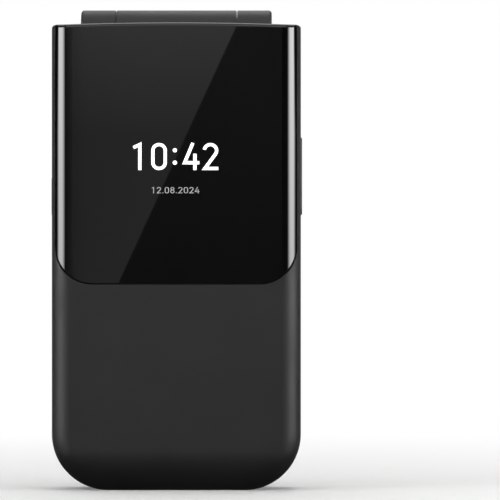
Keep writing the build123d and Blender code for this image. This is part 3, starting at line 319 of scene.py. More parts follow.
stageSettings = {
    "viewWidth": 109.92 * mm,         # what the picture spans at the phone
    "lookX": 16.09 * mm, "lookZ": 52.48 * mm,
    "lens": 260.0, "sensor": 36.0,
    "floorSize": 3.0, "worldLight": 0.5, "fadeFrom": 0.02, "fadeTo": 0.25, "floorEcho": 0.02,
}


def flatCorners(halfX, halfY):
    return [(-halfX, -halfY, 0), (halfX, -halfY, 0), (halfX, halfY, 0), (-halfX, halfY, 0)]


def stageCard(name, corners, material, glossyOnly=True):
    mesh = bpy.data.meshes.new(name)
    mesh.from_pydata([Vector(c) for c in corners], [], [tuple(range(len(corners)))])
    mesh.materials.append(material)
    card = addObject(name, mesh)
    if glossyOnly:
        for kind in ("camera", "diffuse", "shadow", "transmission", "volume_scatter"):
            setattr(card, "visible_" + kind, False)
    return card


# A card's cloth, with a glow worked out from the place on the card.
def cardCloth(name, glowAt):
    material = bpy.data.materials.new(name)
    material.use_nodes = True
    tree = material.node_tree
    tree.nodes.clear()
    place = addNode(tree, "ShaderNodeTexCoord").outputs["Object"]
    glow = glowAt(tree, addNode(tree, "ShaderNodeSeparateXYZ", {"Vector": place}).outputs)
    light = addNode(tree, "ShaderNodeEmission", {"Color": (1, 1, 1, 1), "Strength": glow})
    addNode(tree, "ShaderNodeOutputMaterial", {"Surface": light})
    return material


# A glow that falls from one height to another; a list of (x, share) dims it sideways.
def wallCloth(name, topGlow, lowGlow, lowZ=0.0, topZ=1.0, shares=None):
    def glowAt(tree, place):
        glow = addNode(tree, "ShaderNodeMapRange", {"Value": place["Z"], "From Min": lowZ, "From Max": topZ,
                                                   "To Min": lowGlow, "To Max": topGlow})
        if shares:
            first, last = shares[0][0], shares[-1][0]
            along = addNode(tree, "ShaderNodeMapRange", {"Value": place["X"], "From Min": first,
                                                        "From Max": last})
            ramp = addNode(tree, "ShaderNodeValToRGB", {"Fac": along},
                           [((x - first) / (last - first), share) for x, share in shares])
            glow = addNode(tree, "ShaderNodeMath", {0: glow, 1: ramp}, operation="MULTIPLY")
        return glow
    return cardCloth(name, glowAt)


def buildStage(s):
    cameraData = bpy.data.cameras.new("stageCamera")
    cameraData.lens = s["lens"]
    cameraData.sensor_width = s["sensor"]
    cameraData.clip_end = 50
    camera = addObject("stageCamera", cameraData)
    cameraFar = s["lens"] * s["viewWidth"] / s["sensor"]
    camera.location = (s["lookX"], -cameraFar, s["lookZ"])
    camera.rotation_euler = (math.radians(90), 0, 0)
    scene.camera = camera

    world = bpy.data.worlds.new("studio")
    scene.world = world
    world.use_nodes = True
    tree = world.node_tree
    tree.nodes.clear()
    rays = addNode(tree, "ShaderNodeLightPath")
    seen = addNode(tree, "ShaderNodeMath", {0: rays.outputs["Is Camera Ray"], 1: rays.outputs["Is Glossy Ray"]},
                   operation="MAXIMUM")
    seen = addNode(tree, "ShaderNodeMath", {0: seen, 1: rays.outputs["Is Transmission Ray"]},
                   operation="MAXIMUM")
    strength = addNode(tree, "ShaderNodeMapRange", {"Value": seen, "To Min": s["worldLight"], "To Max": 1.0})
    sky = addNode(tree, "ShaderNodeBackground", {"Color": (1, 1, 1, 1), "Strength": strength})
    addNode(tree, "ShaderNodeOutputWorld", {"Surface": sky})

    # Pale floor: white to the eye, with the phone's soft shadow near it, fading to plain white far off. The
    # phone itself sees it dark, as with black cloth laid round its foot.
    material, tree, shader, place = startMaterial("paleStudioFloor")
    clouds = addNode(tree, "ShaderNodeTexNoise", {"Vector": place, "Scale": 1 / (400 * mm), "Detail": 3.0})
    tint = addNode(tree, "ShaderNodeValToRGB", {"Fac": clouds}, [(0.3, "#f7f7f6"), (0.7, "#fbfbfa")])
    setInputs(tree, shader, {"Base Color": tint, "Roughness": 0.85, "Specular IOR Level": 0.1})
    rays = addNode(tree, "ShaderNodeLightPath")
    seen = addNode(tree, "ShaderNodeMath", {0: rays.outputs["Is Camera Ray"],
                                           1: rays.outputs["Is Transmission Ray"]},
                   operation="MAXIMUM")
    away = addNode(tree, "ShaderNodeVectorMath", {0: place}, operation="LENGTH").outputs["Value"]
    fade = addNode(tree, "ShaderNodeMapRange",
                   {"Value": away, "From Min": s["fadeFrom"], "From Max": s["fadeTo"]},
                   interpolation_type="SMOOTHSTEP")
    white, black = [addNode(tree, "ShaderNodeEmission", {"Color": (1, 1, 1, 1), "Strength": strength})
                    for strength in (1.0, s["floorEcho"])]
    lit = addNode(tree, "ShaderNodeMixShader", {0: fade, 1: shader, 2: white})
    mixed = addNode(tree, "ShaderNodeMixShader", {0: seen, 1: black, 2: lit})
    setInputs(tree, tree.nodes["Material Output"], {"Surface": mixed})
    half = s["floorSize"] / 2
    floor = stageCard("floor", flatCorners(half, half), material, False)
    floor.visible_glossy = False
    return cameraFar


cameraAway = buildStage(stageSettings)


# A softbox: a card turned to the phone whose glow fades towards its edges and changes up its height.
def softbox(name, s, azimuth):
    def glowAt(tree, place):
        halfHeight = s["size"][1] / 2
        glow = addNode(tree, "ShaderNodeMapRange", {"Value": place["Y"], "From Min": -halfHeight,
                                                   "From Max": halfHeight, "To Min": s["glow"][0],
                                                   "To Max": s["glow"][1]})
        for axis, size, soft in zip("XY", s["size"], s["soft"]):
            across = addNode(tree, "ShaderNodeMath", {0: place[axis]}, operation="ABSOLUTE")
            fade = addNode(tree, "ShaderNodeMapRange", {"Value": across, "From Min": size / 2 * (1 - soft),
                                                       "From Max": size / 2, "To Min": 1.0, "To Max": 0.0},
                           interpolation_type="SMOOTHSTEP")
            glow = addNode(tree, "ShaderNodeMath", {0: glow, 1: fade}, operation="MULTIPLY")
        return glow

    turn, rise = math.radians(azimuth), math.radians(s["elevation"])
    away = Vector((math.sin(turn) * math.cos(rise), -math.cos(turn) * math.cos(rise), math.sin(rise)))
    card = stageCard(name, flatCorners(s["size"][0] / 2, s["size"][1] / 2), cardCloth(name + "Cloth", glowAt))
    card.visible_diffuse = s.get("diffuse", True)
    card.location = Vector((0, 0, s.get("aimZ", 0.06))) + away * s["away"]
    card.rotation_euler = (-away).to_track_quat("-Z", "Y").to_euler()


# Sizes are width and height, glows are those of the low and the high edge, and softness is the share of each
# half that fades.
softboxes = {
    "leftStrip": {"azimuths": (-66,), "elevation": 0, "away": 0.55, "size": (0.60, 0.15), "glow": (10.5, 16.5),
                  "soft": (0.8, 0.04), "aimZ": 0.114},
    "rightStrip": {"azimuths": (68,), "elevation": 0, "away": 0.55, "size": (0.60, 0.15), "glow": (11.0, 18.5),
                   "soft": (0.8, 0.04), "aimZ": 0.114},
    "topBox": {"azimuths": (180,), "elevation": 84, "away": 0.9, "size": (0.7, 0.5), "glow": (3.4, 3.4),
               "soft": (0.5, 0.5)},
    "rimBox": {"azimuths": (180,), "elevation": 52, "away": 0.9, "size": (0.8, 0.26), "glow": (6.0, 6.0),
               "soft": (0.5, 0.5), "diffuse": False},
    "lowGlow": {"azimuths": (-45, 45), "elevation": -25, "away": 0.78, "size": (0.36, 0.4), "glow": (0.35, 0.35),
                "soft": (1.0, 1.0), "diffuse": False},
    "backGlow": {"azimuths": (151, -151), "elevation": 0, "away": 0.7, "size": (0.6, 0.5), "glow": (0.8, 0.8),
                 "soft": (1.0, 0.4)},
    "backTopGlow": {"azimuths": (180,), "elevation": 17, "away": 0.72, "size": (0.9, 0.26), "glow": (1.5, 1.5),
                    "soft": (0.4, 1.0)},
}
for name, settings in softboxes.items():
    for azimuth in settings["azimuths"]:
        softbox("%s%d" % (name, azimuth), settings, azimuth)

# A pale wall before the phone, with a dark flag where the window's right side looks back at it, a lower wall
# that only the matt half sees, a higher one that leaves the foot dark, and a dark tent right round.
cardSettings = {
    "away": 0.72, "layer": 0.01, "lowZ": 0.005,
    "wallRight": 0.10, "wallTop": 0.22, "wallGlows": (0.78, 0.42), "wallFadeZ": (0.100, 0.150),
    "wallShares": [(-0.55, 0.0), (-0.40, 0.27), (-0.20, 0.42), (-0.064, 0.52), (-0.052, 0.93), (-0.03, 1.0)],
    "flagGlows": (0.16, 0.06), "flagSeenAt": [(-14.0, 42.0), (60.0, 42.0), (60.0, 112.0), (18.1, 112.0)],
    "lowWallTop": 0.033, "lowWallGlow": 0.9,
    "lowWallShares": [(-0.65, 0.5), (-0.5, 1.0), (-0.28, 1.0), (-0.12, 0.5), (0.0, 0.46), (0.12, 0.5),
                      (0.28, 1.0), (0.5, 1.0), (0.65, 0.5)],
    "highWallZ": (0.25, 0.60), "highWallHalf": 0.5, "highWallGlow": 2.0,
    "tentRadius": 1.25, "tentZ": (-0.3, 0.95), "tentGlow": 0.03, "tentSteps": 40,
}


def wall(name, left, right, y, low, top, cloth):
    stageCard(name, [(left, y, low), (right, y, low), (right, y, top), (left, y, top)], cloth)


def buildCards(s):
    y = -s["away"]
    pale = wallCloth("paleWallCloth", *s["wallGlows"], *s["wallFadeZ"], s["wallShares"])
    wall("frontWall", s["wallShares"][0][0], s["wallRight"], y, s["lowZ"], s["wallTop"], pale)
    # The flag's corners by the places on the window where its edge is seen, sent back along the reflection.
    y += s["layer"]
    windowY = 9.25 * mm
    reach = (abs(y) - windowY) / (cameraAway - windowY)
    corners = []
    for x, z in s["flagSeenAt"]:
        x, z = x * mm, z * mm
        corners.append((x + (x - stageSettings["lookX"]) * reach, y, z + (z - stageSettings["lookZ"]) * reach))
    zs = [corner[2] for corner in corners]
    stageCard("frontFlag", corners, wallCloth("darkFlagCloth", *s["flagGlows"], min(zs), max(zs)))
    y += s["layer"]
    half = s["lowWallShares"][-1][0]
    low = wallCloth("lowWallCloth", s["lowWallGlow"], s["lowWallGlow"], shares=s["lowWallShares"])
    wall("lowWall", -half, half, y, s["lowZ"], s["lowWallTop"], low)
    high = wallCloth("highWallCloth", s["highWallGlow"], s["highWallGlow"])
    wall("highWall", -s["highWallHalf"], s["highWallHalf"], y, *s["highWallZ"], high)
    # The tent: a dark wall right round the stage, open at the top.
    black = wallCloth("blackTentCloth", s["tentGlow"], s["tentGlow"])
    low, top = s["tentZ"]
    ring = [(s["tentRadius"] * math.cos(a), s["tentRadius"] * math.sin(a))
            for a in sweepOf(0, 2 * math.pi, s["tentSteps"])]
    for i, ((ax, ay), (bx, by)) in enumerate(zip(ring, ring[1:])):
        stageCard("tent%02d" % i, [(ax, ay, low), (bx, by, low), (bx, by, top), (ax, ay, top)], black)
    stageCard("tentFloor", [(x, y, low) for x, y in ring[:-1]], black)


buildCards(cardSettings)
print("stage set")

# Shells, straight from the frame's solids

# The lip is the window opening's edge; the foot rolls under below rollZ and in front of splitY.
lidSettings = {
    "lip": 0.13, "lipSteps": 3, "lipLowZ": 44.0, "lipHighZ": 101.0, "lipBackY": -6.95, "lipAngle": 40,
    "frontY": -9.35, "splitY": -4.2, "rollZ": 9.2, "rollDepth": 4.9, "rollPower": 2.2, "cutStep": 0.4,
    "lowestZ": 0.05, "outsideY": -20.0,
}


# How far back the lid's front lies at a height: its foot rolls under, steeper towards the bottom end.
def lidFrontY(s, z):
    return s["frontY"] + s["rollDepth"] * min(max(1 - z / s["rollZ"], 0.0), 1.0) ** s["rollPower"]


def shapeLid(work):
    s = lidSettings
    rim = []
    for edge in work.edges:
        middle = (edge.verts[0].co + edge.verts[1].co) / (2 * mm)
        slopes = sorted(face.normal.y for face in edge.link_faces)
        if (edge.is_convex and slopes[0] < -0.3 and abs(slopes[1]) < 0.1 and middle.y < s["lipBackY"]
                and s["lipLowZ"] < middle.z < s["lipHighZ"]
                and edge.calc_face_angle() > math.radians(s["lipAngle"])):
            rim.append(edge)
    bmesh.ops.bevel(work, geom=rim, offset=s["lip"] * mm, offset_type="OFFSET", segments=s["lipSteps"],
                    profile=0.5, affect="EDGES", clamp_overlap=False)
    for i in range(1, int(s["rollZ"] / s["cutStep"]) + 1):
        bmesh.ops.bisect_plane(work, geom=[*work.verts, *work.edges, *work.faces],
                               plane_co=(0, 0, s["cutStep"] * i * mm), plane_no=(0, 0, 1), dist=0.002 * mm)
    skin = BVHTree.FromBMesh(work)
    for vert in work.verts:
        z = vert.co.z / mm
        if z < s["rollZ"] and vert.co.y < s["splitY"] * mm:
            outside = Vector((0, s["outsideY"] * mm, max(z, s["lowestZ"]) * mm))
            was = skin.ray_cast(outside, Vector((0, 1, 0)))[0].y / mm
            share = min((lidFrontY(s, z) - s["splitY"]) / (was - s["splitY"]), 1.0)
            vert.co.y = (s["splitY"] + (vert.co.y / mm - s["splitY"]) * share) * mm


finishBySlot = {
    "charcoal_abs": charcoalAbs, "frame_abs": frameRimPaintedReflection, "circuit_board": solderMask,
    "tinned_steel": tinnedSheet, "dome_film": milkyFilm, "silicone": greySilicone, "port_plastic": blackNylon,
    "gold_contact": goldPlate, "hinge_steel": springSteel, "flex_film": amberFilm,
    "display_module": blackGlass, "mesh_steel": blackMesh, "magnet_nickel": nickelPlate,
    "side_button": sideAbs, "ring_finish": ringPaint, "key_plastic": keyPlastic,
}
otherNames = {"usb_connector": "usbShell", "loudspeaker": "loudspeakerUnit", "microphone": "microphoneCan"}
# Node, body and slot of every piece that is a moulded copy and no more.
copies = [
    ("lid_inner_shell", "lid", "charcoal_abs"), ("base_front_shell", "base", "charcoal_abs"),
    ("base_rear_frame", "base", "frame_abs"), ("main_board", "base", "circuit_board"),
    ("shield_cans", "base", "tinned_steel"), ("dome_sheet", "base", "dome_film"),
    ("keypad_mat", "base", "silicone"), ("usb_connector", "base", "tinned_steel"),
    ("audio_jack", "base", "port_plastic"), ("loudspeaker", "base", "port_plastic"),
    ("vibration_motor", "base", "tinned_steel"), ("microphone", "base", "tinned_steel"),
    ("camera_module", "base", "port_plastic"), ("sim_card_socket", "base", "tinned_steel"),
    ("memory_card_socket", "base", "tinned_steel"), ("battery_contacts", "base", "gold_contact"),
    ("antenna_carrier", "base", "port_plastic"), ("hinge_cartridge", "base", "hinge_steel"),
    ("hinge_spring", "base", "hinge_steel"), ("hinge_flex_cable", "base", "flex_film"),
    ("outer_display", "lid", "display_module"), ("lid_board", "lid", "circuit_board"),
    ("inner_display", "lid", "display_module"), ("earpiece_speaker", "lid", "port_plastic"),
    ("earpiece_mesh", "lid", "mesh_steel"), ("lid_bumpers", "lid", "silicone"),
    ("closing_magnet", "lid", "magnet_nickel"), ("hinge_shaft", "lid", "hinge_steel"),
    ("hinge_pin", "lid", "hinge_steel"), ("lid_flex_cable", "lid", "flex_film"),
    ("volume_key", "volume_key", "side_button"), ("side_key", "side_key", "side_button"),
    ("scroll_ring", "scroll_ring", "ring_finish"), ("select_key", "select_key", "key_plastic"),
]


def copyName(node):
    first, *rest = node.split("_")
    return otherNames.get(node, first + "".join(part.capitalize() for part in rest))


mouldedCopy("lidShell", "lid_outer_shell", "lid", charcoalAbs, reshape=shapeLid)
for node, body, slotName in copies:
    mouldedCopy(copyName(node), node, body, finishBySlot[slotName])
print("shells dressed")

# The lid's glossy window: flat in the middle, rolling over both sides, with a fine round along its edge

windowSettings = {
    "halfWidth": 26.2, "lowZ": 45.1, "corner": 8.0, "frontY": -9.25, "edgeY": -6.9, "thickness": 0.85,
    "flatHalf": 22.8, "sideRadius": 4.3, "topZ": 102.0, "crown": 0.55, "topHalf": 27.1, "topRadius": 0.7,
    "edgeRound": 0.14, "cornerSteps": 20, "sideZ": (62.0, 78.0, 92.0),
    "topShares": [i / 100 for i in range(100, 85, -1)] + [0.82, 0.7, 0.5, 0.3, 0.1],
    "frontInsets": [4.0, 3.7, 3.4, 3.2, 3.0, 2.75, 2.5, 2.25, 2.0, 1.75, 1.5, 1.25, 1.0, 0.85, 0.7, 0.6, 0.5,
                    0.4, 0.3, 0.22],
    "backInsets": [1.2, 2.0, 3.0, 4.0],
}


def windowOutline(s, inset):
    half, low, radius = s["halfWidth"] - inset, s["lowZ"] + inset, s["corner"] - inset
    cx, cz = half - radius, low + radius
    right = [(cx + radius * math.sin(a), cz - radius * math.cos(a))
             for a in sweepOf(0, math.pi / 2, s["cornerSteps"])]
    right += [(half, z) for z in s["sideZ"]]
    shares = s["topShares"] + [-f for f in reversed(s["topShares"])]
    top = [(half * f, s["topZ"] - inset - s["crown"] * (half * f / s["topHalf"]) ** 2) for f in shares]
    left = [(-x, z) for x, z in reversed(right)]
    return right + top + left


def windowDepth(s, x, z):
    over = min(abs(x) - s["flatHalf"], s["sideRadius"] * 0.999)
    depth = s["frontY"]
    if over > 0:
        depth += s["sideRadius"] - math.sqrt(s["sideRadius"] ** 2 - over ** 2)
    below = s["topZ"] - s["crown"] * (x / s["topHalf"]) ** 2 - z
    if below < s["topRadius"]:
        depth += s["topRadius"] - math.sqrt(s["topRadius"] ** 2 - (s["topRadius"] - max(below, 0.0)) ** 2)
    return depth


# A small round between a face and its side, from 15 to 90 degrees: each ring's inset and how far it has dropped.
def roundSteps(radius):
    turns = [math.radians(angle) for angle in sweepOf(15, 90, 5)]
    return [(radius * (1 - math.sin(turn)), radius * (1 - math.cos(turn))) for turn in turns]


def buildWindow(s):
    steps = [(inset, 0.0) for inset in s["frontInsets"] + [s["edgeRound"]]] + roundSteps(s["edgeRound"])
    rings = [[(x, windowDepth(s, x, z) + drop, z) for x, z in windowOutline(s, inset)] for inset, drop in steps]
    rings += [[(x, s["edgeY"], z) for x, z in windowOutline(s, inset)] for inset in (0, s["thickness"])]
    rings += [[(x, windowDepth(s, x, z) + s["thickness"], z) for x, z in windowOutline(s, inset)]
              for inset in s["backInsets"]]
    return smoothMesh(ringMesh("lidWindow", rings, capFirst=True, capLast=True), 40)


newPiece("lidWindow", buildWindow(windowSettings), "lid", ["lid_window"], pianoAcrylic)
print("window made")

# The battery cover: a pillow whose fall from the flat follows the distance to its edge, with a longer roll
# towards the hinge, and holes for the camera, the flash, a microphone and the loudspeaker

coverSettings = {
    "half": 26.37, "low": 0.83, "corner": 11.47, "run": 9.37, "drop": 2.75, "blend": 3.0,
    "topZ": 102.1, "crown": 0.55, "topHalf": 27.2, "rollZ": 88.0, "rollDrop": 2.45,
    "backY": 9.35, "seatY": 6.0, "wall": 1.0, "edgeRound": 0.18, "columns": 16, "cornerSteps": 22,
    "sideSteps": [0, 0.02, 0.05, 0.09, 0.14, 0.2, 0.3, 0.42, 0.55, 0.7, 0.85],
    "outerInsets": [9.6 - 0.6 * i for i in range(14)] + [1.4, 1.0, 0.7, 0.45, 0.3],
    "innerInsets": [9.6, 8.4, 7.2, 6.0, 4.8, 3.6, 2.4, 1.6], "cutY": (2, 12),
    "cameraHole": (0.0, 94.0, 4.2), "flashHole": (-8.95, 93.7, 2.08), "micHole": (-9.1, 88.1, 0.35),
    "slots": [(12.0, 91.4), (12.0, 93.2), (12.0, 95.0)], "slotLength": 9.0, "slotWidth": 0.9,
    "notchZ": 86.8, "notchRadius": 1.75, "notchDepth": 0.75,
}


def arcDrop(run, drop, way):
    radius = (run ** 2 + drop ** 2) / (2 * drop)
    way = min(max(way, 0.0), run)
    return radius - math.sqrt(radius ** 2 - way ** 2)


def coverY(s, x, z):
    qx, qz = abs(x) - (s["half"] - s["corner"]), s["low"] + s["corner"] - z
    inside = s["corner"] - math.hypot(max(qx, 0.0), max(qz, 0.0)) - min(max(qx, qz), 0.0)
    edgeFall = arcDrop(s["run"], s["drop"], s["run"] - inside)
    rollFall = arcDrop(s["topZ"] - s["rollZ"], s["rollDrop"], z - s["rollZ"])
    return s["backY"] - (edgeFall ** s["blend"] + rollFall ** s["blend"]) ** (1 / s["blend"])


def coverNormal(s, x, z, step=0.02):
    slopeX = (coverY(s, x + step, z) - coverY(s, x - step, z)) / (2 * step)
    slopeZ = (coverY(s, x, z + step) - coverY(s, x, z - step)) / (2 * step)
    return Vector((-slopeX, 1.0, -slopeZ)).normalized()


def coverTop(s, x, inset):
    return s["topZ"] - s["crown"] * (x / s["topHalf"]) ** 2 - inset


# The right side of the cover's outline at an inset: from the top down the side and round the corner.
def coverSide(s, inset):
    half, corner = s["half"] - inset, s["corner"]
    top, foot = coverTop(s, half, inset), s["low"] + corner
    side = [(half, top + (foot - top) * f) for f in s["sideSteps"]]
    cx = s["half"] - corner
    return side + [(cx + (corner - inset) * math.cos(a), foot - (corner - inset) * math.sin(a))
                   for a in sweepOf(0, math.pi / 2, s["cornerSteps"])]


def coverRows(s, inset):
    side = coverSide(s, inset)
    shares = sweepOf(1, -1, s["columns"])
    rows = [[(side[0][0] * f, coverTop(s, side[0][0] * f, inset)) for f in shares]]
    return rows + [[(x * f, z) for f in shares] for x, z in side[1:]]


def coverOutline(s, inset):
    rows = coverRows(s, inset)
    right = [row[0] for row in rows]
    left = [row[-1] for row in reversed(rows)]
    return right + rows[-1][1:-1] + left + list(reversed(rows[0][1:-1]))


def buildCover(s):
    def outer(x, z):
        return coverY(s, x, z)

    def inner(x, z):
        return max(coverY(s, x, z) - s["wall"], s["seatY"])

    def ringAt(inset, place):
        return [(x, place(x, z), z) for x, z in coverOutline(s, inset)]

    parts = []
    for insets, place in ((s["outerInsets"] + [s["edgeRound"]], outer), (s["innerInsets"] + [s["wall"]], inner)):
        rows = [[(x, place(x, z), z) for x, z in row] for row in coverRows(s, insets[0])]
        parts.append(ringMesh("rings", [ringAt(inset, place) for inset in insets]))
        parts.append(ringMesh("rows", rows, closed=False))
    rim = [ringAt(s["edgeRound"], outer)]
    rim += [ringAt(inset, lambda x, z: outer(x, z) - drop) for inset, drop in roundSteps(s["edgeRound"])]
    rim += [ringAt(inset, lambda x, z: s["seatY"]) for inset in (0, s["wall"])]
    rim.append(ringAt(s["wall"], inner))
    return joinMeshes("batteryCover", parts + [ringMesh("rim", rim)])


def rodMesh(name, x, z, radius, lowY, highY, steps=48):
    rings = [circleOf(x, y, z, radius, steps) for y in (lowY, highY)]
    return ringMesh(name, rings, capFirst=True, capLast=True)


def slotMesh(name, x, z, length, width, lowY, highY, steps=14):
    radius, reach = width / 2, (length - width) / 2
    line = [(x + way * reach + way * radius * math.sin(a), z + way * radius * math.cos(a))
            for way in (1, -1) for a in sweepOf(0, math.pi, steps)]
    return ringMesh(name, [[(px, y, pz) for px, pz in line] for y in (lowY, highY)], capFirst=True, capLast=True)


# Cut at millimetre scale, where the solver's own tolerance is small enough.
def cutAway(mesh, cutters):
    mesh.transform(Matrix.Scale(1 / mm, 4))
    body = addObject(mesh.name, mesh)
    tools = joinMeshes("cutters", cutters)
    with editing(tools) as work:
        bmesh.ops.recalc_face_normals(work, faces=work.faces)
    tools.transform(Matrix.Scale(1 / mm, 4))
    cutter = addObject("cutters", tools)
    cut = body.modifiers.new("cut", "BOOLEAN")
    cut.operation, cut.solver, cut.object = "DIFFERENCE", "MANIFOLD", cutter
    result = settle(body)
    bpy.data.objects.remove(body)
    bpy.data.objects.remove(cutter)
    result.transform(Matrix.Scale(mm, 4))
    return result


# Outer faces take the pillow's own slope as their shading, so that holes leave no mark in the gloss. A face
# counts as outer when its corners lie within the slack (mm) of the pillow and its normal is alike.
def slopeShading(mesh, s, slack=0.06, alike=0.97):
    mesh.polygons.foreach_set("use_smooth", [True] * len(mesh.polygons))
    mesh.set_sharp_from_angle(angle=math.radians(35))
    normals = [Vector(n.vector) for n in mesh.corner_normals]
    for face in mesh.polygons:
        corners = [mesh.vertices[v].co / mm for v in face.vertices]
        if face.normal.y < 0.3 or any(abs(c.y - coverY(s, c.x, c.z)) > slack for c in corners):
            continue
        slopes = [coverNormal(s, c.x, c.z) for c in corners]
        if all(face.normal.dot(slope) > alike for slope in slopes):
            for loop, slope in zip(face.loop_indices, slopes):
                normals[loop] = slope
    mesh.normals_split_custom_set(normals)


def makeCover(s):
    mesh = buildCover(s)
    with editing(mesh) as work:
        bmesh.ops.remove_doubles(work, verts=work.verts, dist=0.001 * mm)
        bmesh.ops.recalc_face_normals(work, faces=work.faces)
    holes = [rodMesh("hole", *s[key], *s["cutY"]) for key in ("cameraHole", "flashHole", "micHole")]
    holes += [slotMesh("slot", x, z, s["slotLength"], s["slotWidth"], *s["cutY"]) for x, z in s["slots"]]
    notchX = -s["half"] - s["notchRadius"] + s["notchDepth"]
    holes.append(rodMesh("notch", notchX, s["notchZ"], s["notchRadius"], *s["cutY"]))
    mesh = cutAway(mesh, holes)
    slopeShading(mesh, s)
    return mesh


newPiece("batteryCover", makeCover(coverSettings), "cover", ["battery_cover"], pianoPolycarbonate)
print("battery cover made")

# Figures drawn as strokes, all in one height of 1: a list of paths, open or closed, and of round dots

figureSettings = {"width": 0.56, "stroke": 0.118, "gap": 0.15, "dot": 0.078, "colonGap": 0.06}


def arcOf(cx, cy, rx, ry, start, end, steps=18):
    return [(cx + rx * math.cos(math.radians(a)), cy + ry * math.sin(math.radians(a)))
            for a in sweepOf(start, end, steps)]


def figurePaths(sign, s):
    w, h = s["width"], s["stroke"] / 2
    left, right, low, top, mid = h, w - h, h, 1 - h, w / 2
    r = (right - left) / 2
    loop = arcOf(mid, top - r, r, r, 180, 0) + arcOf(mid, low + r, r, r, 0, -180)
    six = [("closed", arcOf(mid, 0.33, r, 0.33 - h, 0, 360, 36)[:-1]),
           ("open", [(w * 0.72, 1.0)] + arcOf(mid + 0.02, 0.36, r + 0.02, 0.42, 118, 182, 8))]
    paths = {
        "0": [("closed", loop)],
        "1": [("open", [(0.07, 0.83), (0.3, top), (0.3, 0.0)])],
        "2": [("open", arcOf(mid, top - r, r, r, 172, -34) + [(left + 0.02, low), (w, low)])],
        "3": [("open", arcOf(mid - 0.02, 0.745, r - 0.02, 0.255 - h, 158, -90)),
              ("open", arcOf(mid - 0.01, 0.29, r, 0.29 - h, 90, -160))],
        "4": [("open", [(0.36, 1.0), (0.06, 0.27), (w + 0.03, 0.27)]), ("open", [(0.43, 0.6), (0.43, 0.0)])],
        "5": [("open", [(right, top), (left + 0.05, top), (left + 0.02, 0.49)]
               + arcOf(mid - 0.01, 0.315, r, 0.315 - h, 118, -158))],
        "6": six,
        "7": [("open", [(0.02, top), (right, top), (0.2, 0.0)])],
        "8": [("closed", arcOf(mid, 0.745, r - 0.025, 0.255 - h, 0, 360, 32)[:-1]),
              ("closed", arcOf(mid, 0.29, r, 0.29 - h, 0, 360, 36)[:-1])],
        "9": [(kind, [(w - x, 1 - y) for x, y in path]) for kind, path in six],
        ":": [("dot", [(s["dot"] + s["colonGap"], 0.27)]), ("dot", [(s["dot"] + s["colonGap"], 0.73)])],
        ".": [("dot", [(s["dot"], s["dot"])])],
        "*": [("open", [(mid + reach * math.cos(a), 0.5 + reach * math.sin(a)) for reach in (-0.38, 0.38)])
              for a in (math.pi / 2, math.pi / 6, -math.pi / 6)],
        "#": [("open", [(x - 0.03, 0.02), (x + 0.05, 0.98)]) for x in (0.17, 0.4)]
             + [("open", [(-0.02, y), (w + 0.02, y)]) for y in (0.33, 0.67)],
    }
    wide = {":": 2 * (s["dot"] + s["colonGap"]), ".": 2 * s["dot"]}.get(sign, w)
    return paths[sign], wide


# A path widened to both sides, its corners mitred.
def strokeOutline(path, closed, half):
    count, sides = len(path), ([], [])
    for i in range(count):
        here = Vector(path[i])
        before = Vector(path[i - 1]) if closed or i else None
        after = Vector(path[(i + 1) % count]) if closed or i < count - 1 else None
        ways = [way.normalized() for way in (before and here - before, after and after - here)
                if way is not None]
        across = sum((Vector((-way.y, way.x)) for way in ways), Vector((0, 0))).normalized()
        reach = half / max(across.dot(Vector((-ways[0].y, ways[0].x))), 0.4)
        sides[0].append(here + across * reach)
        sides[1].append(here - across * reach)
    return sides


def strokeMesh(kind, path, half, thick, dot):
    if kind == "dot":
        x, y = path[0]
        line = [(x + dot * math.cos(a), y + dot * math.sin(a)) for a in sweepOf(0, 2 * math.pi, 20)[:-1]]
        points = [(px, py, pz) for pz in (0, thick) for px, py in line]
        count = len(line)
        faces = [(i, (i + 1) % count, count + (i + 1) % count, count + i) for i in range(count)]
        faces += [tuple(reversed(range(count))), tuple(range(count, 2 * count))]
    else:
        one, two = strokeOutline(path, kind == "closed", half)
        count = len(one)
        points = [(p.x, p.y, z) for z in (0, thick) for side in (one, two) for p in side]
        faces = []
        for i in range(count if kind == "closed" else count - 1):
            j = (i + 1) % count
            faces += [(i, j, count + j, count + i), (2 * count + i, 2 * count + j, 3 * count + j, 3 * count + i),
                      (i, j, 2 * count + j, 2 * count + i), (count + i, count + j, 3 * count + j, 3 * count + i)]
        if kind == "open":
            faces += [(i, count + i, 3 * count + i, 2 * count + i) for i in (0, count - 1)]
    mesh = bpy.data.meshes.new("stroke")
    mesh.from_pydata(points, [], faces)
    with editing(mesh) as work:
        bmesh.ops.recalc_face_normals(work, faces=work.faces)
    return mesh


def unite(name, meshes):
    body = addObject(name, meshes[0])
    others = []
    for mesh in meshes[1:]:
        other = addObject(name + "Part", mesh)
        added = body.modifiers.new("add", "BOOLEAN")
        added.operation, added.solver, added.object = "UNION", "MANIFOLD", other
        others.append(other)
    mesh = settle(body)
    for item in [body, *others]:
        bpy.data.objects.remove(item)
    return mesh


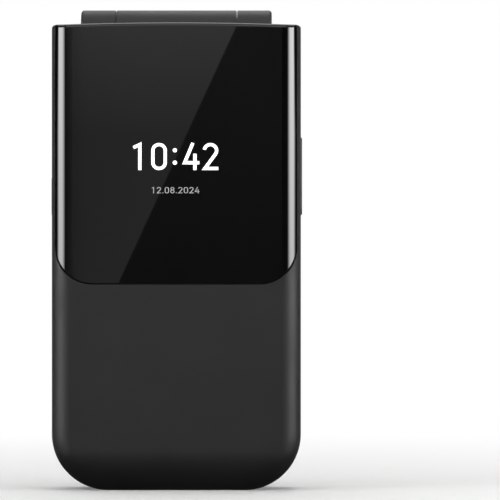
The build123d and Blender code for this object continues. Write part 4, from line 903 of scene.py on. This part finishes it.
# Figures in a row, thin and raised, fitted to a width and a height and laid along right and up about a middle.
def wordMesh(name, words, middle, widthMm, heightMm, right, up, thickMm, weight=1.0):
    s = dict(figureSettings, stroke=figureSettings["stroke"] * weight)
    along, pieces = 0.0, []
    for sign in words:
        paths, wide = figurePaths(sign, s)
        strokes = [strokeMesh(kind, path, s["stroke"] / 2, thickMm, s["dot"] * weight ** 0.5)
                   for kind, path in paths]
        mesh = unite(name, strokes) if len(strokes) > 1 and sign not in ":" else joinMeshes(name, strokes)
        mesh.transform(Matrix.Translation((along, 0, 0)))
        along += wide + s["gap"]
        pieces.append(mesh)
    mesh = joinMeshes(name, pieces)
    xs, ys = [v.co.x for v in mesh.vertices], [v.co.y for v in mesh.vertices]
    mesh.transform(Matrix.Translation((-(max(xs) + min(xs)) / 2, -(max(ys) + min(ys)) / 2, 0)))
    wide = widthMm / (max(xs) - min(xs)) if widthMm else heightMm
    tall = heightMm / (max(ys) - min(ys)) if widthMm else heightMm
    mesh.transform(Matrix.Diagonal((wide, tall, 1, 1)))
    mesh.transform(layAlong(middle, right, up))
    return mesh


def layAlong(middle, right, up):
    right, up = Vector(right), Vector(up)
    turn = Matrix((right, up, right.cross(up))).transposed().to_4x4()
    return Matrix.Translation(Vector(middle) * mm) @ turn @ Matrix.Scale(mm, 4)


# A flat mesh in x and y, in mm, thickened and turned so that x runs along right and y along up.
def inlaid(name, flat, middle, right, up, thickMm):
    work = bmesh.new()
    work.from_mesh(flat)
    bmesh.ops.remove_doubles(work, verts=work.verts, dist=0.002)
    for face in work.faces:
        if face.normal.z < 0:
            face.normal_flip()
    lifted = bmesh.ops.extrude_face_region(work, geom=list(work.faces))
    for item in lifted["geom"]:
        if isinstance(item, bmesh.types.BMVert):
            item.co.z += thickMm
    bmesh.ops.recalc_face_normals(work, faces=work.faces)
    work.transform(layAlong(middle, right, up))
    mesh = bpy.data.meshes.new(name)
    work.to_mesh(mesh)
    work.free()
    return mesh


# The outer display's figures: a clock and a date, lit behind the window

clockSettings = {"x": -0.1, "faceY": -9.251, "proud": 0.02,
                 "clock": "10:42", "clockZ": 72.9, "clockSize": (18.6, 6.1),
                 "date": "12.08.2024", "dateZ": 65.5, "dateSize": (10.4, 1.4)}


# The bright clock and the dimmer date of a display that faces forward, its top towards up.
def buildClock(s, names, up):
    for name, key, glow in zip(names, ("clock", "date"), (displayGlow, dimGlow)):
        middle = (s["x"], s["faceY"], s[key + "Z"])
        mesh = wordMesh(name, s[key], middle, *s[key + "Size"], (1, 0, 0), up, s["proud"])
        newPiece(name, mesh, "lid", (), glow)


buildClock(clockSettings, ("clockDigits", "dateDigits"), (0, 0, 1))
print("clock lit")

# Keys: satin caps with printed signs

keySettings = {"topY": -1.951, "proud": 0.015, "digitHeight": 3.9, "handsetScale": 1.05, "barSize": (3.4, 0.55)}
numberKeys = ("1", "2", "3", "4", "5", "6", "7", "8", "9", "star", "0", "hash")
columnX, rowZ = (-15.0, 0.0, 15.0), (44.6, 33.4, 22.2, 11.0)
keySpots = {"key_" + key: (columnX[i % 3], rowZ[i // 3]) for i, key in enumerate(numberKeys)}
keySpots.update(call_key=(-17.3, 59.5), end_key=(17.3, 59.5), left_soft_key=(-17.3, 75.0),
                right_soft_key=(17.3, 75.0))
keySigns = {"key_star": "*", "key_hash": "#"}
keyWeights = {"*": 0.8, "#": 0.72}


# A telephone receiver: a thick bow with two deeper ends, drawn as arcs of a radius, from an angle to another.
def receiverOutline(scale, turn):
    bows = ((2.3, 155, 25, 16), (1.0, 25, 52, 4), (1.6, 56, 124, 10), (1.0, 128, 155, 4))
    line = [point for radius, *sweep in bows for point in arcOf(0, 0, radius, radius, *sweep)]
    cosine, sine = math.cos(math.radians(turn)), math.sin(math.radians(turn))
    line = [(x, y - 1.6) for x, y in line]
    return [(scale * (x * cosine - y * sine), scale * (x * sine + y * cosine)) for x, y in line]


def outlineMesh(name, line):
    mesh = bpy.data.meshes.new(name)
    mesh.from_pydata([(x, y, 0) for x, y in line], [], [tuple(reversed(range(len(line))))])
    return mesh


def roundedBar(width, height, steps=6):
    radius, reach = height / 2, (width - height) / 2
    return arcOf(reach, 0, radius, radius, 90, -90, steps) + arcOf(-reach, 0, radius, radius, 270, 90, steps)


def buildKeys(s):
    right, up = (1, 0, 0), (0, 0, 1)
    for key, (x, z) in keySpots.items():
        mouldedCopy(key.replace("_", "") + "Cap", key, key, keyPlastic)
        middle, ink, name = (x, s["topY"], z), legendInk, key.replace("_", "") + "Sign"
        if key in ("call_key", "end_key"):
            ink = greenInk if key == "call_key" else redInk
            sign = outlineMesh(name, receiverOutline(s["handsetScale"], 45 if key == "call_key" else 0))
            mesh = inlaid(name, sign, middle, right, up, s["proud"])
        elif key.endswith("soft_key"):
            mesh = inlaid(name, outlineMesh(name, roundedBar(*s["barSize"])), middle, right, up, s["proud"])
        else:
            sign = keySigns.get(key, key[-1])
            mesh = wordMesh(name, sign, middle, None, s["digitHeight"], right, up, s["proud"],
                            keyWeights.get(sign, 1.0))
        newPiece(name, mesh, key, (), ink)


buildKeys(keySettings)
print("keys printed")

# The inner screen: one sheet of glass, black printed at its border, lit in the middle

screenSettings = {"half": 21.6, "lowZ": 16.2, "topZ": 73.8, "glow": 0.55, "x": 0, "faceY": -2.169, "proud": 0.012,
                  "clock": clockSettings["clock"], "clockZ": 34.0, "clockSize": (23.0, 7.4),
                  "date": clockSettings["date"], "dateZ": 41.8, "dateSize": (15.0, 2.0)}


# Wallpaper: soft bands of blue running across a darker ground, inside a black border.
def screenFinish(s):
    material, tree, shader, place = startMaterial("litScreenUnderGlass")
    inside = addNode(tree, "ShaderNodeMath", {0: beyondRectangle(tree, place, s), 1: 0.0},
                     operation="LESS_THAN")
    bent = addNode(tree, "ShaderNodeTexNoise", {"Vector": place, "Scale": 1 / (26 * mm), "Detail": 1.0})
    waves = addNode(tree, "ShaderNodeTexWave", {"Vector": place, "Scale": 1 / (70 * mm), "Distortion": 3.0,
                                               "Detail": 1.0, "Detail Scale": 0.5}, wave_type="BANDS",
                    bands_direction="DIAGONAL")
    blend = addNode(tree, "ShaderNodeMath", {0: waves.outputs["Fac"], 1: bent}, operation="MULTIPLY")
    dust = addNode(tree, "ShaderNodeTexNoise", {"Vector": place, "Scale": 1 / (2 * mm), "Detail": 3.0})
    paper = addNode(tree, "ShaderNodeValToRGB", {"Fac": blend}, [(0.05, "#0b2746"), (0.65, "#3f8fc4")])
    border = addNode(tree, "ShaderNodeValToRGB", {"Fac": dust}, [(0.3, "#060607"), (0.7, "#09090b")])
    colour = addNode(tree, "ShaderNodeMix", {"Factor": inside}, data_type="RGBA")
    for socket in colour.inputs:
        if socket.type == "RGBA":
            tree.links.new((border if socket.name == "A" else paper).outputs[0], socket)
    result = next(socket for socket in colour.outputs if socket.type == "RGBA")
    glow = addNode(tree, "ShaderNodeMath", {0: inside, 1: s["glow"]}, operation="MULTIPLY")
    setInputs(tree, shader, {"Base Color": result, "Emission Color": result, "Emission Strength": glow})
    makeRelief(tree, shader, place, 9.0, (0.03, 0.06), 5.0, 0.0003)
    return material


mouldedCopy("displayGlass", "display_glass", "lid", screenFinish(screenSettings))
buildClock(screenSettings, ("screenClock", "screenDate"), (0, 0, -1))
print("screen lit")

# The camera: an anodised bezel, a printed glass and a coated lens set back in it, whose reflection is painted in
# rings

# Profiles are lists of radius and y, and colours are lists of radius and code.
cameraSettings = {
    "x": 0.0, "z": 94.0, "steps": 72, "sharp": 25,
    "bezel": [(3.5, 8.06), (3.89, 8.06), (3.9, 8.12), (3.9, 8.46), (3.87, 8.52), (3.8, 8.55), (3.66, 8.55),
              (3.6, 8.53), (3.56, 8.46), (3.5, 8.44), (3.5, 8.06)],
    "glass": [(3.5, 8.1), (3.5, 8.44), (3.46, 8.47), (3.42, 8.47), (2.02, 8.47), (1.98, 8.47), (1.92, 8.45),
              (1.9, 8.4), (1.84, 8.36), (1.84, 8.12)],
    "barrel": [(1.84, 8.12), (1.84, 8.34), (1.8, 8.38), (1.7, 8.38), (1.62, 8.34), (1.45, 8.24), (1.42, 8.18),
               (1.25, 8.14), (1.22, 8.1)],
    "dome": [(1.24, 8.1)] + [(1.22 * math.cos(a), 8.12 + 0.07 * math.sin(a))
                             for a in sweepOf(0, math.pi / 2 - 0.04, 8)],
    # The barrel grows lighter towards its rim: painted sheen.
    "barrelTintAndPaintedSheen": [(0.0, "#101011"), (1.3, "#1a1a1c"), (1.55, "#242527"), (1.72, "#303134"), (1.9, "#1c1d1e")],
    # The lens's pale bands and the bright ring round its black pupil are painted reflection; the pupil's black is
    # its own colour.
    "lensTintAndPaintedReflection": [(0.0, "#020203"), (0.3, "#08080a"), (0.36, "#8d8e92"), (0.46, "#3c3d41"), (0.56, "#5c5d61"),
                    (1.25, "#6d6e72")],
}


# Colour by the distance from the camera's axis; the rings carry painted sheen and painted reflection.
def ringFinish(name, s, bands, rough, coat=1.0):
    material, tree, shader, place = startMaterial(name)
    flat = addNode(tree, "ShaderNodeVectorMath", {0: place, 1: (1, 0, 1)}, operation="MULTIPLY")
    away = addNode(tree, "ShaderNodeVectorMath", {0: flat, 1: (s["x"] * mm, 0, s["z"] * mm)},
                   operation="DISTANCE")
    reach = bands[-1][0]
    share = addNode(tree, "ShaderNodeMapRange", {"Value": away.outputs["Value"], "From Min": 0.0,
                                                "From Max": reach * mm})
    stops = [(radius / reach, code) for radius, code in bands]
    cloudColour(tree, shader, place, share, stops, 0.6, (0.85, 1.15))
    makeRelief(tree, shader, place, 1.5, (rough, rough + 0.03), 1.0, 0.0004)
    setInputs(tree, shader, {"Coat Weight": coat, "Coat Roughness": 0.02})
    return material


def buildCamera(s):
    barrelPaintedSheenFinish = ringFinish("machinedLensBarrel", s, s["barrelTintAndPaintedSheen"], 0.25, 0.2)
    lensPaintedReflectionFinish = ringFinish("coatedLensGlass", s, s["lensTintAndPaintedReflection"], 0.03)
    for name, profile, material in (("cameraBezel", "bezel", darkBezel), ("cameraGlass", "glass", smokedGlass),
                                    ("lensRing", "barrel", barrelPaintedSheenFinish), ("lensDome", "dome", lensPaintedReflectionFinish)):
        rings = [circleOf(s["x"], y, s["z"], radius, s["steps"]) for radius, y in s[profile]]
        mesh = smoothMesh(ringMesh(name, rings, capLast=profile == "dome"), s["sharp"])
        newPiece(name, mesh, "base", ["camera_window"] if profile == "bezel" else (), material)


buildCamera(cameraSettings)
print("camera made")

# The flash: a phosphor chip seen through a lens pressed with facets

# The facets' rings: share of the radius, depth behind the front, and turn as a share of a facet.
flashSettings = {"x": -8.95, "z": 93.7, "frontY": 8.55, "lensBackY": 8.3, "radius": 1.68, "facets": 10,
                 "rings": ((1.0, 0.0, 0.0), (0.82, 0.13, 0.5), (0.55, 0.03, 0.0), (0.3, 0.15, 0.5),
                           (0.1, 0.05, 0.0))}


def buildFlash(s):
    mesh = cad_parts["flash_led"].data.copy()
    mesh.name = "flashLed"
    with editing(mesh) as work:
        bmesh.ops.remove_doubles(work, verts=work.verts, dist=mergeGap)
        front = [face for face in work.faces
                 if face.normal.y > 0.99 and abs(face.calc_center_median().y / mm - s["frontY"]) < 0.01]
        bmesh.ops.delete(work, geom=front, context="FACES")
    rings = []
    for share, dip, turn in s["rings"]:
        angles = [2 * math.pi * (i + turn) / s["facets"] for i in range(s["facets"])]
        rings.append([(s["x"] + s["radius"] * share * math.sin(a), s["frontY"] - dip,
                       s["z"] + s["radius"] * share * math.cos(a)) for a in angles])
    joined = joinMeshes("flashLed", [mesh, ringMesh("facets", rings, capLast=True)])
    with editing(joined) as work:
        lens = [face for face in work.faces if face.calc_center_median().y / mm > s["lensBackY"]]
        bmesh.ops.triangulate(work, faces=lens)
        bmesh.ops.recalc_face_normals(work, faces=work.faces)
    newPiece("flashLed", joined, "base", ["flash_led"], phosphor)


buildFlash(flashSettings)
print("flash made")

# Screws: one screw with a lobed drive and a rolled thread, set at every place by a node group

screwSettings = {
    "lobes": 6, "drive": 0.42, "lobeDepth": 0.07, "driveDepth": 0.36, "steps": 48, "threadPitch": 0.34,
    "threadDepth": 0.07,
    "baseScrews": {"body": "base", "replaces": "base_screws", "headRadius": 1.2, "headY": 3.45,
                   "headHeight": 0.75, "shank": 0.6, "length": 3.4,
                   "places": [(x, z) for x in (-24.3, 24.3) for z in (15.0, 52.0, 89.0)]},
    "lidScrews": {"body": "lid", "replaces": "lid_screws", "headRadius": 1.3, "headY": -3.65, "headHeight": 0.75,
                  "shank": 0.6, "length": 3.2,
                  "places": [(-14.5, 3.8), (14.5, 3.8), (-22.6, 93.2), (22.6, 93.2)]},
}


def screwMesh(name, s, kind):
    head, top, shank = kind["headRadius"], kind["headHeight"], kind["shank"]
    angles = sweepOf(0, 2 * math.pi, s["steps"])[:-1]

    def ring(radius, y, lobed=False):
        reach = [radius + (s["lobeDepth"] * math.cos(s["lobes"] * a) if lobed else 0) for a in angles]
        return [(r * math.sin(a), y, r * math.cos(a)) for r, a in zip(reach, angles)]

    rings = [ring(s["drive"] - 0.04, top - s["driveDepth"], True), ring(s["drive"], top - 0.05, True),
             ring(s["drive"] + 0.04, top - 0.01, True), ring(head * 0.78, top), ring(head * 0.92, top - 0.05),
             ring(head, top - 0.2), ring(head, 0.04), ring(head - 0.05, 0), ring(shank, 0)]
    turns = int((kind["length"] - 0.3) / s["threadPitch"])
    for i in range(turns):
        y = -0.15 - i * s["threadPitch"]
        rings += [ring(shank, y), ring(shank - s["threadDepth"], y - s["threadPitch"] * 0.5)]
    rings += [ring(shank - 0.05, -kind["length"] + 0.1), ring(shank - 0.2, -kind["length"])]
    return smoothMesh(ringMesh(name, rings, capFirst=True, capLast=True), 38)


# Copies of one object on the points of a mesh, made real, with one material.
def placeGroup():
    group = bpy.data.node_groups.new("copiesOnPoints", "GeometryNodeTree")
    for name, way, kind in (("Points", "INPUT", "Geometry"), ("Unit", "INPUT", "Object"),
                            ("Finish", "INPUT", "Material"), ("Merge Distance", "INPUT", "Float"),
                            ("Geometry", "OUTPUT", "Geometry")):
        group.interface.new_socket(name, in_out=way, socket_type="NodeSocket" + kind)
    entry = addNode(group, "NodeGroupInput")
    unit = addNode(group, "GeometryNodeObjectInfo", {"Object": entry.outputs["Unit"]})
    copied = addNode(group, "GeometryNodeInstanceOnPoints", {"Points": entry.outputs["Points"],
                                                            "Instance": unit.outputs["Geometry"]})
    real = addNode(group, "GeometryNodeRealizeInstances", {"Geometry": copied})
    merged = addNode(group, "GeometryNodeMergeByDistance", {"Geometry": real,
                                                           "Distance": entry.outputs["Merge Distance"]})
    dressed = addNode(group, "GeometryNodeSetMaterial", {"Geometry": merged,
                                                        "Material": entry.outputs["Finish"]})
    addNode(group, "NodeGroupOutput", {"Geometry": dressed})
    return group


placing = placeGroup()


def copiesOnPoints(name, unitMesh, points, material, mergeMm=0.0):
    cloud = bpy.data.meshes.new(name)
    cloud.from_pydata([Vector(p) * mm for p in points], [], [])
    carrier = addObject(name, cloud)
    unit = addObject(name + "Unit", unitMesh)
    modifier = carrier.modifiers.new("copies", "NODES")
    modifier.node_group = placing
    sockets = {item.name: item.identifier for item in placing.interface.items_tree if item.in_out == "INPUT"}
    modifier[sockets["Unit"]] = unit
    modifier[sockets["Finish"]] = material
    modifier[sockets["Merge Distance"]] = mergeMm * mm
    mesh = settle(carrier)
    bpy.data.objects.remove(carrier)
    bpy.data.objects.remove(unit)
    return mesh


def buildScrews(s):
    for name in ("baseScrews", "lidScrews"):
        kind = s[name]
        unit = screwMesh(name, s, kind)
        mesh = copiesOnPoints(name, unit, [(x, kind["headY"], z) for x, z in kind["places"]], zincSteel)
        newPiece(name, mesh, kind["body"], [kind["replaces"]], zincSteel)


buildScrews(screwSettings)
print("screws set")

# Thin washers that fill the gaps between the hinge's knuckles and its barrel

washerSettings = {"y": -2.0, "z": 101.3, "radius": 3.5, "hole": 2.2, "fromX": 13.1, "toX": 13.3, "steps": 64}


def buildWashers(s):
    halves = []
    for way in (-1, 1):
        section = (("hole", "fromX"), ("radius", "fromX"), ("radius", "toX"), ("hole", "toX"), ("hole", "fromX"))
        rings = [[(way * s[x], s["y"] + s[radius] * math.sin(a), s["z"] + s[radius] * math.cos(a))
                  for a in sweepOf(0, 2 * math.pi, s["steps"])[:-1]] for radius, x in section]
        halves.append(smoothMesh(ringMesh("washer", rings), 30))
    newPiece("hingeWashers", joinMeshes("hingeWashers", halves), "lid", (), blackNylon)


buildWashers(washerSettings)
print("washers set")

# The loudspeaker's mesh: a punched sheet of round holes, bent to the inside of the cover

meshSettings = {"x": 12.0, "z": 93.2, "columns": 22, "rows": 12, "pitch": 0.5, "hole": 0.16, "thick": 0.16,
                "gap": 0.02, "holeSteps": 12}


def punchedCell(name, s):
    half, steps = s["pitch"] / 2, s["holeSteps"]
    square, circle = [], []
    for i in range(steps):
        a = 2 * math.pi * (i + 0.5) / steps
        reach = half / max(abs(math.cos(a)), abs(math.sin(a)))
        square.append((reach * math.cos(a), reach * math.sin(a)))
        circle.append((s["hole"] * math.cos(a), s["hole"] * math.sin(a)))
    corners = [(half, half), (-half, half), (-half, -half), (half, -half)]
    points, faces = [], []
    for y in (s["thick"] / 2, -s["thick"] / 2):
        points += [Vector((x, y, z)) * mm for x, z in square + circle + corners]
    size = 2 * steps + 4
    cornerAt = {steps // 8 + k * steps // 4: k for k in range(4)}
    for i in range(steps):
        j = (i + 1) % steps
        corner = cornerAt.get(i)
        outer = (i, j) if corner is None else (i, 2 * steps + corner, j)
        front = (*outer, steps + j, steps + i)
        faces.append(front)
        faces.append(tuple(size + v for v in reversed(front)))
        faces.append((steps + i, steps + j, size + steps + j, size + steps + i))
    mesh = bpy.data.meshes.new(name)
    mesh.from_pydata(points, [], faces)
    return mesh


def buildSpeakerMesh(s):
    spots = [(s["pitch"] * (i - (s["columns"] - 1) / 2), 0, s["pitch"] * (j - (s["rows"] - 1) / 2))
             for i in range(s["columns"]) for j in range(s["rows"])]
    mesh = copiesOnPoints("speakerMesh", punchedCell("speakerMesh", s), spots, blackMesh, 0.002)
    with editing(mesh) as work:
        for vert in work.verts:
            x, z = vert.co.x / mm + s["x"], vert.co.z / mm + s["z"]
            inner = coverY(coverSettings, x, z) - coverSettings["wall"]
            vert.co = Vector((x, vert.co.y / mm + inner - s["gap"] - s["thick"] / 2, z)) * mm
        bmesh.ops.recalc_face_normals(work, faces=work.faces)
    newPiece("speakerMesh", mesh, "cover", ["speaker_mesh"], blackMesh)


buildSpeakerMesh(meshSettings)
print("speaker mesh punched")

# The battery: grey wrap with a bare pale label framed by a thin line

# Colours follow the distance from the label's edge, from so many mm within it to so many beyond.
batterySettings = {"half": 15.5, "lowZ": 29.0, "topZ": 70.0, "line": 0.25, "inset": 1.2, "within": 4, "beyond": 1}


def batteryFinish(s):
    material, tree, shader, place = startMaterial("batteryWrapAndLabel")
    share = addNode(tree, "ShaderNodeMapRange", {"Value": beyondRectangle(tree, place, s),
                                                "From Min": -s["within"] * mm,
                                                "From Max": s["beyond"] * mm})
    reach = s["within"] + s["beyond"]
    stops = [(0.0, "#c3c5c6"), ((s["within"] - s["inset"] - s["line"]) / reach, "#3a3c3f"),
             ((s["within"] - s["inset"]) / reach, "#c3c5c6"), (s["within"] / reach, "#2b2d30")]
    cloudColour(tree, shader, place, share, stops, 4.0, (0.92, 1.06), "CONSTANT")
    makeRelief(tree, shader, place, 3.0, (0.32, 0.42), 2.5, 0.02)
    return material


mouldedCopy("batteryPack", "battery", "base", batteryFinish(batterySettings))
print("battery dressed")

scene.view_settings.view_transform = "Standard"
